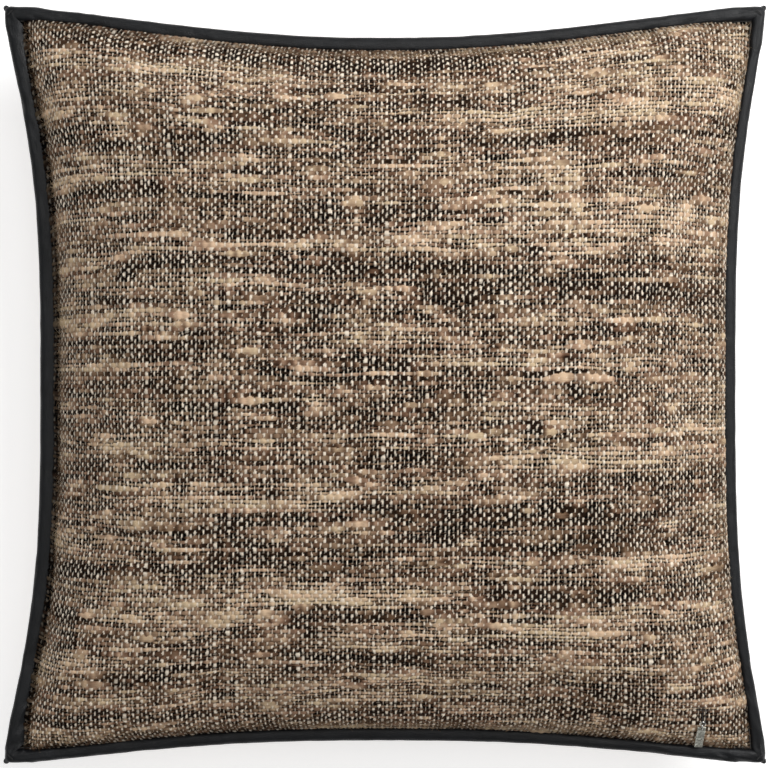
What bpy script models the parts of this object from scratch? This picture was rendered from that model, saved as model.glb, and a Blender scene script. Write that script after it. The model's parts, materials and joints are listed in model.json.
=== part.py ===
"""Square throw pillow with leather piping, a concealed zip, a loose insert and a small metal charm.

The pillow lies on its back, face up. +Z is up, +Y points to the top edge and +X to the right edge
as the face is seen. The origin is at the foot of the pillow, under the middle of its outline.
All sizes are in metres.
"""

import math

import bmesh
import bpy
from mathutils import Matrix, Vector

# The outline: a square whose sides draw in between the corner tips.
TIP_SPAN_X = 0.508
TIP_SPAN_Y = 0.505
DRAW_LEFT = 0.024
DRAW_RIGHT = 0.020
DRAW_TOP = 0.021
DRAW_BOTTOM = 0.015
DRAW_FLATNESS_SIDES = 3.3
DRAW_FLATNESS_TOP = 2.1
DRAW_FLATNESS_BOTTOM = 2.5
DRAW_EASE = 1.6

# The crown of the two faces, measured from the seam, and the height at which the seam rides.
FRONT_CROWN = 0.0764
BACK_CROWN = 0.080
FRONT_FULLNESS = 0.50
BACK_FULLNESS = 0.60
SEAM_HEIGHT = 0.066

# Materials' thicknesses and the running clearances between pieces.
CLOTH = 0.0020
LEATHER = 0.0012
TICKING = 0.0008
GAP = 0.0003
SEWN_GAP = 0.0003
RIM_SETBACK = 0.0006

# Piping: a cord wrapped in a leather strip whose two tails are sewn between the panels.
CORD_RADIUS = 0.0035
CORD_OUT = 0.0055
TAIL_REACH = 0.0100
MITRE_GAP = 0.0003
PIPING_STATIONS = 10
SEAM_THREAD_RADIUS = 0.0003

# Insert: a cotton case in two halves around a feather filling.
INSERT_SPARE = 0.0030
INSERT_CLEAR = 0.0010
CASE_RIM = 0.0002
FILLING_CLEAR = 0.0004
INSERT_THREAD_RADIUS = 0.0004

# Concealed zip, straight across the back just above the bottom edge.
ZIP_INSET = 0.0300
ZIP_SHARE = 0.616
ZIP_SLOPE = math.radians(33)
ZIP_DEPTH = 0.0295
SLIT = 0.0014
TAPE_WIDTH = 0.0120
TAPE = 0.0006
TAPE_OVERRUN = 0.0080
COIL_RADIUS = 0.0008
SLIDER_LENGTH = 0.0100
SLIDER_WALL = 0.0010
WEB = 0.0008
WEB_LENGTH = 0.0030
WEB_STANDOUT = 0.0032
EYE_HEIGHT = 0.0020
EYE_RADIUS = 0.0009
PULL_RING = 0.0022
PULL_WIRE = 0.0003
PULL_LENGTH = 0.0160
PULL_WIDTH = 0.0050
PULL_PLATE = 0.0008
STOP_LENGTH = 0.0030
STOP_CLEAR = 0.0008
TAPE_THREAD_RADIUS = 0.0002
FLAT_BAND = 0.0170
BAND_FADE = 0.0300
BAND_SPARE = 0.0040
BAND_STOP = 0.0025

# Charm: a thread loop, two wire links and a metal tag, near the bottom right corner of the face.
CHARM_X = 0.2085
CHARM_Y = -0.2212
CHARM_HEADING = Vector((-0.035, -0.999)).normalized()
CHARM_LIFT = 0.0042
LOOP_WIRE = 0.0002
LINK_RADIUS = 0.0018
LINK_WIRE = 0.00032
LINK_OVERLAP = 0.0009
TAG_LENGTH = 0.0195
TAG_WIDTH = 0.0054
TAG_PLATE = 0.0010
TAG_HOLE = 0.00085
TAG_HOLE_INSET = 0.0015
TAG_CORNER = 0.0004
TAG_CLEAR = 0.0022

# Care label, sewn into the left seam on the inside.
LABEL_LENGTH = 0.0300
LABEL_GAP = 0.0050
LABEL = 0.0004
LABEL_AT_Y = -0.1500

# How finely the soft sheets are divided.
SHEET_LINES = 16
STRIP_LINES = 4

# Sizes that follow from the ones above.
INSERT_INSET = TAIL_REACH + INSERT_SPARE
LABEL_DEPTH = INSERT_INSET - LABEL_GAP
LEATHER_INNER = CORD_RADIUS + GAP
LEATHER_OUTER = LEATHER_INNER + LEATHER
PIPING_REACH = CORD_OUT + LEATHER_OUTER
TAIL_HALF = SEWN_GAP / 2 + LEATHER
RIM = TAIL_HALF + GAP + CLOTH
SEAM_HALF_X = TIP_SPAN_X / 2 - PIPING_REACH
SEAM_HALF_Y = TIP_SPAN_Y / 2 - PIPING_REACH
INSERT_TOP = RIM + FRONT_CROWN - CLOTH - INSERT_CLEAR
CASE_EDGE = CASE_RIM + TICKING
ZIP_Y = -(SEAM_HALF_Y - DRAW_BOTTOM - ZIP_INSET)
ZIP_HEIGHT = SEAM_HEIGHT - RIM - ZIP_DEPTH
ZIP_HALF = ZIP_SHARE * SEAM_HALF_X
BAND_HALF = ZIP_HALF + TAPE_OVERRUN + BAND_SPARE
BAND_END_FADE = min(0.0550, SEAM_HALF_X - DRAW_LEFT - BAND_HALF - BAND_STOP)

MATERIALS = {
    "slub_cloth": ((0.205, 0.142, 0.098), 0.90, 0.0),
    "black_leather": ((0.016, 0.017, 0.019), 0.42, 0.0),
    "cotton_cord": ((0.72, 0.69, 0.62), 0.90, 0.0),
    "black_thread": ((0.020, 0.020, 0.020), 0.70, 0.0),
    "zip_tape": ((0.030, 0.024, 0.020), 0.85, 0.0),
    "zip_nylon": ((0.040, 0.032, 0.027), 0.45, 0.0),
    "dark_metal": ((0.090, 0.085, 0.080), 0.35, 1.0),
    "ticking": ((0.80, 0.78, 0.73), 0.85, 0.0),
    "feather": ((0.86, 0.84, 0.80), 0.95, 0.0),
    "label_satin": ((0.85, 0.84, 0.82), 0.60, 0.0),
    "charm_metal": ((0.62, 0.60, 0.52), 0.30, 1.0),
}


def clear_scene():
    for old in list(bpy.data.objects):
        bpy.data.objects.remove(old, do_unlink=True)


def material(name):
    """The Principled material of that name, made on its first use."""
    made = bpy.data.materials.get(name)
    if made is None:
        colour, roughness, metallic = MATERIALS[name]
        made = bpy.data.materials.new(name)
        made.use_nodes = True
        shader = made.node_tree.nodes["Principled BSDF"]
        shader.inputs["Base Color"].default_value = (*colour, 1.0)
        shader.inputs["Roughness"].default_value = roughness
        shader.inputs["Metallic"].default_value = metallic
        made.diffuse_color = (*colour, 1.0)
    return made


def add_object(name, mesh_source, material_name, matrix=None, turned=False):
    """One named object from a bmesh, with its material. Faces are turned outwards here, unless
    its maker has turned them."""
    if not turned:
        bmesh.ops.recalc_face_normals(mesh_source, faces=mesh_source.faces)
    mesh = bpy.data.meshes.new(name)
    mesh_source.to_mesh(mesh)
    mesh_source.free()
    mesh.materials.append(material(material_name))
    made = bpy.data.objects.new(name, mesh)
    made.matrix_world = matrix or Matrix.Identity(4)
    bpy.context.scene.collection.objects.link(made)
    return made


def loft(made, rings, looped):
    """Adds a tube through rings of points to a bmesh: looped, or closed by a cap at each end."""
    rings = [[made.verts.new(point) for point in ring] for ring in rings]
    following = rings[1:] + rings[:1] if looped else rings[1:]
    for here, there in zip(rings, following):
        for k, vert in enumerate(here):
            n = (k + 1) % len(here)
            made.faces.new((vert, here[n], there[n], there[k]))
    if not looped:
        made.faces.new(rings[0])
        made.faces.new(rings[-1])


# ---------------------------------------------------------------- outline and crown


def draw(t, flatness):
    """Share of a side's draw at t, from 0 at its corners (t = -1 and 1) to 1 in its middle."""
    return (1 - min(1.0, abs(t)) ** flatness) ** DRAW_EASE


def edge_x(y, right, out=0.0):
    """Distance from the middle to the left or right side at height y, for the outline that
    lies 'out' outside the seam."""
    side_draw = DRAW_RIGHT if right else DRAW_LEFT
    return SEAM_HALF_X + out - side_draw * draw(y / (SEAM_HALF_Y + out), DRAW_FLATNESS_SIDES)


def edge_y(x, top, out=0.0):
    """The same for the top and bottom sides."""
    side_draw = DRAW_TOP if top else DRAW_BOTTOM
    flatness = DRAW_FLATNESS_TOP if top else DRAW_FLATNESS_BOTTOM
    return SEAM_HALF_Y + out - side_draw * draw(x / (SEAM_HALF_X + out), flatness)


def crown(x, y, fullness, out=0.0):
    """Height of the inflated crown at (x, y), from 0 on the outline to 1 in the middle. The
    lower the fullness figure, the steeper it rises from the seam."""
    across = x / edge_x(y, x > 0, out)
    along = y / edge_y(x, y > 0, out)
    room = max(0.0, 1 - across * across) * max(0.0, 1 - along * along)
    return room**fullness


def fade(value, start, width):
    """1 up to start, then a smooth fall to 0 over width."""
    t = min(1.0, max(0.0, (abs(value) - start) / width))
    return 1 - t * t * (3 - 2 * t)


def front_height(x, y, out=0.0):
    return SEAM_HEIGHT + RIM + FRONT_CROWN * crown(x, y, FRONT_FULLNESS, out)


def back_height(x, y, out=0.0):
    """The back's outer surface: its crown is pressed flat where the pillow rests, and it runs
    straight along the zip, whose tapes stiffen it."""
    depth = BACK_CROWN * crown(x, y, BACK_FULLNESS, out)
    beside = y - ZIP_Y
    straight = fade(beside, FLAT_BAND, BAND_FADE) * fade(x, BAND_HALF, BAND_END_FADE)
    depth += straight * (ZIP_DEPTH + math.tan(ZIP_SLOPE) * beside - depth)
    return max(0.0, SEAM_HEIGHT - RIM - depth)


def spread_lines(count):
    """Lines from -1 to 1 that crowd together towards both ends."""
    steps = [2 * k / count - 1 for k in range(count + 1)]
    return [0.8 * math.sin(math.pi / 2 * t) + 0.2 * t for t in steps]


def unit_lines(count):
    """The same lines, from 0 to 1."""
    return [(t + 1) / 2 for t in spread_lines(count)]


def column_lines():
    """The lines across a sheet. Two of them lie just past the ends of the zip's tapes, so
    that the cloth over the tapes stays straight."""
    lines = spread_lines(SHEET_LINES)
    past_tape = BAND_HALF / edge_x(ZIP_Y, False)
    nearest = min(range(SHEET_LINES + 1), key=lambda k: abs(lines[k] - past_tape))
    lines[nearest], lines[SHEET_LINES - nearest] = past_tape, -past_tape
    return lines


def sheet(rows, low, high, height, out=0.0):
    """A four-sided sheet: x runs between the outline's sides, and y from low(x) to high(x)."""
    made = bmesh.new()
    columns = column_lines()
    grid = []
    for share in rows:
        line = []
        for u in columns:
            x = u * SEAM_HALF_X
            for _ in range(8):
                y = low(x) + share * (high(x) - low(x))
                x = u * edge_x(y, u > 0, out)
            line.append(made.verts.new((x, y, height(x, y))))
        grid.append(line)
    for below, above in zip(grid, grid[1:]):
        for k in range(SHEET_LINES):
            made.faces.new((below[k], below[k + 1], above[k + 1], above[k]))
    return made


def shell(name, source, thickness, material_name, face_up):
    """A sheet thickened inwards by a Solidify modifier."""
    if not face_up:
        bmesh.ops.reverse_faces(source, faces=source.faces)
    made = add_object(name, source, material_name, turned=True)
    made.data.shade_smooth()
    solid = made.modifiers.new("thickness", "SOLIDIFY")
    solid.thickness = thickness
    solid.offset = -1
    solid.use_rim = True
    return made


# ---------------------------------------------------------------- cover panels


def slit_half(x):
    """Half the gap between the two back pieces: open along the zip, sewn shut beyond it."""
    return SLIT / 2 if abs(x) < BAND_HALF + BAND_SPARE else SEWN_GAP / 2


def make_front_panel():
    out = -RIM_SETBACK
    source = sheet(
        unit_lines(SHEET_LINES),
        lambda x: -edge_y(x, False, out),
        lambda x: edge_y(x, True, out),
        lambda x, y: front_height(x, y, out),
        out,
    )
    shell("front_panel", source, CLOTH, "slub_cloth", True)


def make_back_panel():
    out = -RIM_SETBACK
    length = edge_y(0.0, True, out) - ZIP_Y
    near_zip = [0.0, FLAT_BAND / length, 2 * FLAT_BAND / length]
    rest = [s for s in unit_lines(SHEET_LINES) if s > near_zip[-1] * 1.2]
    source = sheet(
        near_zip + rest,
        lambda x: ZIP_Y + slit_half(x),
        lambda x: edge_y(x, True, out),
        lambda x, y: back_height(x, y, out),
        out,
    )
    shell("back_panel", source, CLOTH, "slub_cloth", False)


def make_back_zip_strip():
    out = -RIM_SETBACK
    length = edge_y(0.0, False, out) + ZIP_Y
    flat_from = 1 - FLAT_BAND / length
    rows = [0.0, *(flat_from * k / (STRIP_LINES - 1) for k in range(1, STRIP_LINES)), 1.0]
    source = sheet(
        rows,
        lambda x: -edge_y(x, False, out),
        lambda x: ZIP_Y - slit_half(x),
        lambda x, y: back_height(x, y, out),
        out,
    )
    shell("back_zip_strip", source, CLOTH, "slub_cloth", False)


# ---------------------------------------------------------------- piping and seams


SIDES = ("top", "right", "bottom", "left")


def side_point(side, t, out, height):
    """A point beside the seam: t runs from -1 to 1 along the side, clockwise seen from above,
    'out' is the distance outside the seam and height is measured from the seam's plane."""
    half_x, half_y = SEAM_HALF_X + out, SEAM_HALF_Y + out
    if side == "top":
        x, y = t * half_x, edge_y(t * half_x, True, out)
    elif side == "right":
        x, y = edge_x(-t * half_y, True, out), -t * half_y
    elif side == "bottom":
        x, y = -t * half_x, -edge_y(-t * half_x, False, out)
    else:
        x, y = -edge_x(t * half_y, False, out), t * half_y
    return Vector((x, y, SEAM_HEIGHT + height))


def sweep_side(name, side, profile, material_name):
    """A closed solid that carries a profile of (out, height) points along one side and ends in
    the mitre planes at its two corners."""
    reach = 1 - MITRE_GAP / math.sqrt(2) / SEAM_HALF_Y
    stations = [reach * math.sin(math.pi / 2 * (2 * k / PIPING_STATIONS - 1))
                for k in range(PIPING_STATIONS + 1)]
    made = bmesh.new()
    loft(made, [[side_point(side, t, o, h) for o, h in profile] for t in stations], False)
    made_object = add_object(name, made, material_name)
    made_object.data.shade_smooth()
    made_object.data.set_sharp_from_angle(angle=math.radians(40))


def arc(centre_out, radius, start, end, count):
    """Points of (out, height) on an arc around (centre_out, 0)."""
    angles = [start + (end - start) * k / count for k in range(count + 1)]
    return [(centre_out + radius * math.cos(a), radius * math.sin(a)) for a in angles]


def leather_profile():
    """The strip's section: both tails and the round wrap, with the cord's bore inside."""
    outer = math.pi - math.asin(TAIL_HALF / LEATHER_OUTER)
    inner = math.pi - math.asin(SEWN_GAP / 2 / LEATHER_INNER)
    return [
        (-TAIL_REACH, TAIL_HALF),
        *arc(CORD_OUT, LEATHER_OUTER, outer, -outer, 9),
        (-TAIL_REACH, -TAIL_HALF),
        (-TAIL_REACH, -SEWN_GAP / 2),
        *arc(CORD_OUT, LEATHER_INNER, -inner, inner, 8),
        (-TAIL_REACH, SEWN_GAP / 2),
    ]


def make_piping():
    cord = arc(CORD_OUT, CORD_RADIUS, 0, 2 * math.pi, 8)[:-1]
    for side in SIDES:
        sweep_side(f"piping_leather_{side}", side, leather_profile(), "black_leather")
        sweep_side(f"piping_cord_{side}", side, cord, "cotton_cord")


def thread_ring(name, out, height, radius, material_name):
    """A thread all the way round, beside the seam."""
    section = [(out + o, height + h) for o, h in arc(0.0, radius, 0, 2 * math.pi, 5)[:-1]]
    stations = [math.sin(math.pi / 2 * (2 * k / PIPING_STATIONS - 1))
                for k in range(PIPING_STATIONS)]
    made = bmesh.new()
    loft(made, [[side_point(side, t, o, h) for o, h in section]
                for side in SIDES for t in stations], True)
    add_object(name, made, material_name)


def make_seam_threads():
    crease = TAIL_HALF + RIM_SETBACK + SEAM_THREAD_RADIUS
    thread_ring("front_seam_thread", SEAM_THREAD_RADIUS / 2, crease, SEAM_THREAD_RADIUS,
                "black_thread")
    thread_ring("back_seam_thread", SEAM_THREAD_RADIUS / 2, -crease, SEAM_THREAD_RADIUS,
                "black_thread")


def make_corner_stitches():
    """A bar of thread across each corner's mitre, resting on top of the leather."""
    height = SEAM_HEIGHT + LEATHER_OUTER + GAP + SEAM_THREAD_RADIUS
    for across, sign_x in (("left", -1), ("right", 1)):
        for along, sign_y in (("bottom", -1), ("top", 1)):
            corner = Vector((sign_x * (SEAM_HALF_X + CORD_OUT),
                             sign_y * (SEAM_HALF_Y + CORD_OUT), height))
            half = Vector((sign_x, -sign_y, 0)) * CORD_RADIUS / 2
            stitch = bmesh.new()
            rod(stitch, SEAM_THREAD_RADIUS, corner - half, corner + half, 8)
            add_object(f"mitre_stitch_{along}_{across}", stitch, "black_thread")


# ---------------------------------------------------------------- insert


def lens(rows, height_top, height_foot, out):
    """A closed pad: two sheets that share their outline."""
    low = lambda x: -edge_y(x, False, out)
    high = lambda x: edge_y(x, True, out)
    made = sheet(rows, low, high, height_top, out)
    lower = sheet(rows, low, high, height_foot, out)
    bmesh.ops.reverse_faces(lower, faces=lower.faces)
    foot = bpy.data.meshes.new("foot")
    lower.to_mesh(foot)
    lower.free()
    made.from_mesh(foot)
    bpy.data.meshes.remove(foot)
    bmesh.ops.remove_doubles(made, verts=made.verts, dist=1e-6)
    return made


def insert_floor(x, y):
    """The lowest the insert reaches: just inside the back, and further in over the slider's path."""
    over_zip = fade(y - ZIP_Y, TAPE_WIDTH, BAND_FADE) * fade(x, ZIP_HALF, BAND_END_FADE)
    room = CLOTH + INSERT_CLEAR + over_zip * (SLIDER_DEPTH - CLOTH)
    return back_height(x, y) + room / math.cos(ZIP_SLOPE)


def make_insert():
    rows = unit_lines(SHEET_LINES)
    out = -INSERT_INSET
    low = lambda x: -edge_y(x, False, out)
    high = lambda x: edge_y(x, True, out)
    rise = INSERT_TOP - CASE_EDGE

    def case_top(x, y):
        return SEAM_HEIGHT + CASE_EDGE + rise * crown(x, y, FRONT_FULLNESS, out)

    def case_foot(x, y):
        depth = rise * crown(x, y, BACK_FULLNESS, out)
        return max(insert_floor(x, y), SEAM_HEIGHT - CASE_EDGE - depth)

    shell("insert_case_front", sheet(rows, low, high, case_top, out), TICKING, "ticking", True)
    shell("insert_case_back", sheet(rows, low, high, case_foot, out), TICKING, "ticking", False)
    thread_ring("insert_edge_stitching", out + GAP + 2 * INSERT_THREAD_RADIUS, 0.0,
                INSERT_THREAD_RADIUS, "cotton_cord")

    inner = out - TICKING - 2 * FILLING_CLEAR
    filling_rise = rise - TICKING - FILLING_CLEAR

    def filling_top(x, y):
        return SEAM_HEIGHT + filling_rise * crown(x, y, FRONT_FULLNESS, inner)

    def filling_foot(x, y):
        depth = filling_rise * crown(x, y, BACK_FULLNESS, inner)
        return max(insert_floor(x, y) + TICKING + 2 * FILLING_CLEAR, SEAM_HEIGHT - depth)

    pad = lens(rows, filling_top, filling_foot, inner)
    add_object("insert_filling", pad, "feather", turned=True).data.shade_smooth()


# ---------------------------------------------------------------- zip


def zip_matrix(along=0.0):
    """The zip's own axes: X along it, Z out of the cloth, Y towards the bottom seam."""
    place = Matrix.Translation((along, ZIP_Y, ZIP_HEIGHT))
    return place @ Matrix.Rotation(math.pi - ZIP_SLOPE, 4, "X")


def block(made, low, high):
    """Adds a closed box between two corners to a bmesh, and returns its vertices."""
    size = [b - a for a, b in zip(low, high)]
    middle = [(a + b) / 2 for a, b in zip(low, high)]
    matrix = Matrix.Translation(middle) @ Matrix.Diagonal((*size, 1))
    return bmesh.ops.create_cube(made, size=1, matrix=matrix)["verts"]


def rod(made, radius, start, end, sides):
    """Adds a closed rod between two points to a bmesh."""
    start, end = Vector(start), Vector(end)
    turn = (end - start).to_track_quat("Z", "Y").to_matrix().to_4x4()
    bmesh.ops.create_cone(
        made, cap_ends=True, segments=sides, radius1=radius, radius2=radius,
        depth=(end - start).length, matrix=Matrix.Translation((start + end) / 2) @ turn)


TAPE_TOP = -CLOTH - GAP
COIL_CENTRE_Z = TAPE_TOP - TAPE - GAP - COIL_RADIUS
COIL_CENTRE_Y = SLIT / 2 + COIL_RADIUS + 0.0001
COIL_FOOT = COIL_CENTRE_Z - COIL_RADIUS
SLIDER_DEPTH = GAP + SLIDER_WALL - COIL_FOOT
SLIDER_INNER_HALF = COIL_CENTRE_Y + COIL_RADIUS + GAP
CLOSED_AT = ZIP_HALF - STOP_CLEAR - SLIDER_LENGTH / 2


def make_tapes_and_coils():
    """One tape and one coil on each side of the slit: the upper ones on the back panel."""
    run = ZIP_HALF + TAPE_OVERRUN
    for side, sign in (("upper", -1), ("lower", 1)):
        near, far = sorted((sign * SLIT / 2, sign * (SLIT / 2 + TAPE_WIDTH)))
        tape = bmesh.new()
        block(tape, (-run, near, TAPE_TOP - TAPE), (run, far, TAPE_TOP))
        add_object(f"zip_tape_{side}", tape, "zip_tape", zip_matrix())
        coil = bmesh.new()
        y, z = sign * COIL_CENTRE_Y, COIL_CENTRE_Z
        rod(coil, COIL_RADIUS, (-ZIP_HALF, y, z), (ZIP_HALF, y, z), 8)
        add_object(f"zip_coil_{side}", coil, "zip_nylon", zip_matrix())


def make_zip_stops():
    """A top stop on each coil where the zip closes, and one stop across both at its foot."""
    low_z, high_z = COIL_FOOT, TAPE_TOP - TAPE - GAP
    near, far = SLIT / 2, COIL_CENTRE_Y + COIL_RADIUS
    start, end = ZIP_HALF + GAP, ZIP_HALF + GAP + STOP_LENGTH
    for name, low, high in (
        ("zip_top_stop_upper", (start, -far, low_z), (end, -near, high_z)),
        ("zip_top_stop_lower", (start, near, low_z), (end, far, high_z)),
        ("zip_bottom_stop", (-end, -far, low_z), (-start, far, high_z)),
    ):
        stop = bmesh.new()
        block(stop, low, high)
        add_object(name, stop, "dark_metal", zip_matrix())


def make_tape_stitching():
    """The row of stitches that holds each tape, on the tape's inner face."""
    run = ZIP_HALF + TAPE_OVERRUN / 2
    z = TAPE_TOP - TAPE - GAP - TAPE_THREAD_RADIUS
    for side, sign in (("upper", -1), ("lower", 1)):
        y = sign * (SLIT / 2 + TAPE_WIDTH * 2 / 3)
        row = bmesh.new()
        rod(row, TAPE_THREAD_RADIUS, (-run, y, z), (run, y, z), 6)
        add_object(f"zip_stitching_{side}", row, "black_thread", zip_matrix())


def make_slider():
    """A channel that holds both coils from inside, with a web through the slit that ends in
    an eye for the pull."""
    half, wall = SLIDER_LENGTH / 2, SLIDER_WALL
    inside, top = SLIDER_INNER_HALF, TAPE_TOP - TAPE - GAP
    floor = COIL_FOOT - GAP
    profile = [
        (inside + wall, floor - wall), (inside + wall, top), (inside, top), (inside, floor),
        (-inside, floor), (-inside, top), (-inside - wall, top), (-inside - wall, floor - wall),
    ]
    channel = bmesh.new()
    loft(channel, [[(x, y, z) for y, z in profile] for x in (-half, half)], False)
    slider = add_object("zip_slider", channel, "dark_metal", zip_matrix(CLOSED_AT))

    web = bmesh.new()
    block(web, (-WEB_LENGTH / 2, -WEB / 2, floor - wall / 2),
          (WEB_LENGTH / 2, WEB / 2, WEB_STANDOUT))
    web_object = add_object("slider_web_tool", web, "dark_metal", zip_matrix(CLOSED_AT))
    eye = bmesh.new()
    rod(eye, EYE_RADIUS, (0, -WEB, EYE_HEIGHT), (0, WEB, EYE_HEIGHT), 16)
    eye_object = add_object("slider_eye_tool", eye, "dark_metal", zip_matrix(CLOSED_AT))
    cut_and_join(slider, [("UNION", web_object), ("DIFFERENCE", eye_object)])


def cut_and_join(target, steps):
    """Boolean steps with hidden tools."""
    for operation, tool in steps:
        step = target.modifiers.new(operation.lower(), "BOOLEAN")
        step.operation = operation
        step.solver = "EXACT"
        step.object = tool
        tool.hide_render = True
        tool.display_type = "WIRE"


def torus(made, ring_radius, wire_radius, matrix, ring_steps=20, wire_steps=8):
    """Adds a closed wire ring, which lies in the matrix's XY plane, to a bmesh."""
    rings = []
    for k in range(ring_steps):
        a = 2 * math.pi * k / ring_steps
        ring = []
        for j in range(wire_steps):
            b = 2 * math.pi * j / wire_steps
            reach = ring_radius + wire_radius * math.cos(b)
            place = Vector((reach * math.cos(a), reach * math.sin(a), wire_radius * math.sin(b)))
            ring.append(matrix @ place)
        rings.append(ring)
    loft(made, rings, True)


def make_pull():
    """A wire ring through the slider's eye and a narrow plate: it hangs straight out of the
    cloth, and its origin is on the eye's axis."""
    hinge = zip_matrix(CLOSED_AT) @ Matrix.Translation((0, 0, EYE_HEIGHT))
    ring = bmesh.new()
    upright = Matrix.Translation((0, 0, PULL_RING)) @ Matrix.Rotation(math.pi / 2, 4, "Y")
    torus(ring, PULL_RING, PULL_WIRE, upright)
    pull = add_object("zip_pull", ring, "dark_metal", hinge)
    pull.data.shade_smooth()

    plate = bmesh.new()
    start = 2 * PULL_RING - PULL_WIRE
    verts = block(plate, (-PULL_PLATE / 2, -PULL_WIDTH / 2, start),
                  (PULL_PLATE / 2, PULL_WIDTH / 2, start + PULL_LENGTH))
    for vert in verts:
        if vert.co.z < start + PULL_LENGTH / 2:
            vert.co.y *= 0.55
    corners = [e for e in plate.edges
               if abs(e.verts[0].co.x - e.verts[1].co.x) > PULL_PLATE / 2]
    bmesh.ops.bevel(plate, geom=corners, offset=PULL_WIDTH / 5, segments=3, affect="EDGES")
    plate_object = add_object("pull_plate_tool", plate, "dark_metal", hinge)
    cut_and_join(pull, [("UNION", plate_object)])


# ---------------------------------------------------------------- charm and label


def charm_matrix():
    """The charm's own axes: X down along it, Y across it, Z out of the cloth. The charm lies
    on a straight line from just over the cloth at the loop to just over the piping."""
    anchor = Vector((CHARM_X, CHARM_Y, front_height(CHARM_X, CHARM_Y) + CHARM_LIFT))
    reach = TAG_END
    over_piping = SEAM_HEIGHT + LEATHER_OUTER + TAG_CLEAR + TAG_PLATE / 2
    fall = math.asin((anchor.z - over_piping) / reach)
    down = Vector((*(CHARM_HEADING * math.cos(fall)), -math.sin(fall)))
    across = Vector((-CHARM_HEADING.y, CHARM_HEADING.x, 0))
    out = down.cross(across)
    turn = Matrix((down, across, out)).transposed().to_4x4()
    return Matrix.Translation(anchor) @ turn


def clearance(point):
    """Distance from a point to the front panel."""
    bpy.context.view_layer.update()
    nearest = bpy.data.objects["front_panel"].closest_point_on_mesh(point)[1]
    return (point - nearest).length


LOWER_LINK_AT = 3 * LINK_RADIUS - LINK_OVERLAP
TAG_HOLE_AT = LOWER_LINK_AT + LINK_RADIUS
TAG_START = TAG_HOLE_AT - TAG_HOLE_INSET
TAG_END = TAG_START + TAG_LENGTH
FLAT = Matrix.Identity(4)
ON_EDGE = Matrix.Rotation(math.pi / 2, 4, "X")


def make_charm():
    """The loop stands on edge, just over the cloth, the upper link lies flat through it, the
    lower link stands on edge, and the tag lies flat. Each one's origin is where it turns."""
    frame = charm_matrix()
    loop_radius, loop_at = 0.0, frame.translation
    for _ in range(12):
        loop_at = frame @ Vector((LOOP_WIRE + LINK_WIRE + GAP - loop_radius, 0, 0))
        room = clearance(loop_at) - LOOP_WIRE - GAP
        loop_radius += (room - loop_radius) / 2
    loop = bmesh.new()
    torus(loop, loop_radius, LOOP_WIRE, ON_EDGE, 20, 6)
    loop_frame = Matrix.Translation(loop_at - frame.translation) @ frame
    add_object("charm_thread_loop", loop, "black_thread", loop_frame).data.shade_smooth()

    upper = bmesh.new()
    torus(upper, LINK_RADIUS, LINK_WIRE, Matrix.Translation((LINK_RADIUS, 0, 0)))
    add_object("charm_link_upper", upper, "charm_metal", frame).data.shade_smooth()

    lower = bmesh.new()
    lower_at = 2 * LINK_RADIUS
    torus(lower, LINK_RADIUS, LINK_WIRE,
          Matrix.Translation((LOWER_LINK_AT - lower_at, 0, 0)) @ ON_EDGE)
    lower_frame = frame @ Matrix.Translation((lower_at, 0, 0))
    add_object("charm_link_lower", lower, "charm_metal", lower_frame).data.shade_smooth()

    tag_frame = frame @ Matrix.Translation((TAG_HOLE_AT, 0, 0))
    plate = bmesh.new()
    block(plate, (-TAG_HOLE_INSET, -TAG_WIDTH / 2, -TAG_PLATE / 2),
          (TAG_LENGTH - TAG_HOLE_INSET, TAG_WIDTH / 2, TAG_PLATE / 2))
    bmesh.ops.bevel(plate, geom=plate.edges[:], offset=TAG_CORNER, segments=1, affect="EDGES")
    tag = add_object("charm_tag", plate, "charm_metal", tag_frame)
    hole = bmesh.new()
    rod(hole, TAG_HOLE, (0, 0, -TAG_PLATE), (0, 0, TAG_PLATE), 16)
    hole_object = add_object("tag_hole_tool", hole, "charm_metal", tag_frame)
    cut_and_join(tag, [("DIFFERENCE", hole_object)])


def make_care_label():
    """A short satin tab that lies on the leather's tail, inside the left seam."""
    made = bmesh.new()
    seam = -edge_x(LABEL_AT_Y, False)
    start = seam + RIM_SETBACK + CLOTH + 2 * GAP
    z = SEAM_HEIGHT + TAIL_HALF + GAP
    verts = block(made, (start, LABEL_AT_Y - LABEL_LENGTH / 2, z),
                  (start + LABEL_DEPTH - 2 * GAP, LABEL_AT_Y + LABEL_LENGTH / 2, z + LABEL))
    for vert in verts:
        vert.co.x += -edge_x(vert.co.y, False) - seam
    add_object("care_label", made, "label_satin")


def main():
    clear_scene()
    make_front_panel()
    make_back_panel()
    make_back_zip_strip()
    make_piping()
    make_seam_threads()
    make_corner_stitches()
    make_insert()
    make_tapes_and_coils()
    make_zip_stops()
    make_tape_stitching()
    make_slider()
    make_pull()
    make_charm()
    make_care_label()


main()
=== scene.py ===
"""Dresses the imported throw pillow: slub-woven cloth, leather piping, zip, insert and metal charm.

Sizes are in metres. The pillow lies on its back, +Z is up, +Y points to its top edge and +X to its
right edge, and the frame's origin is on the floor under its middle.
"""

import json
import math

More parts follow.
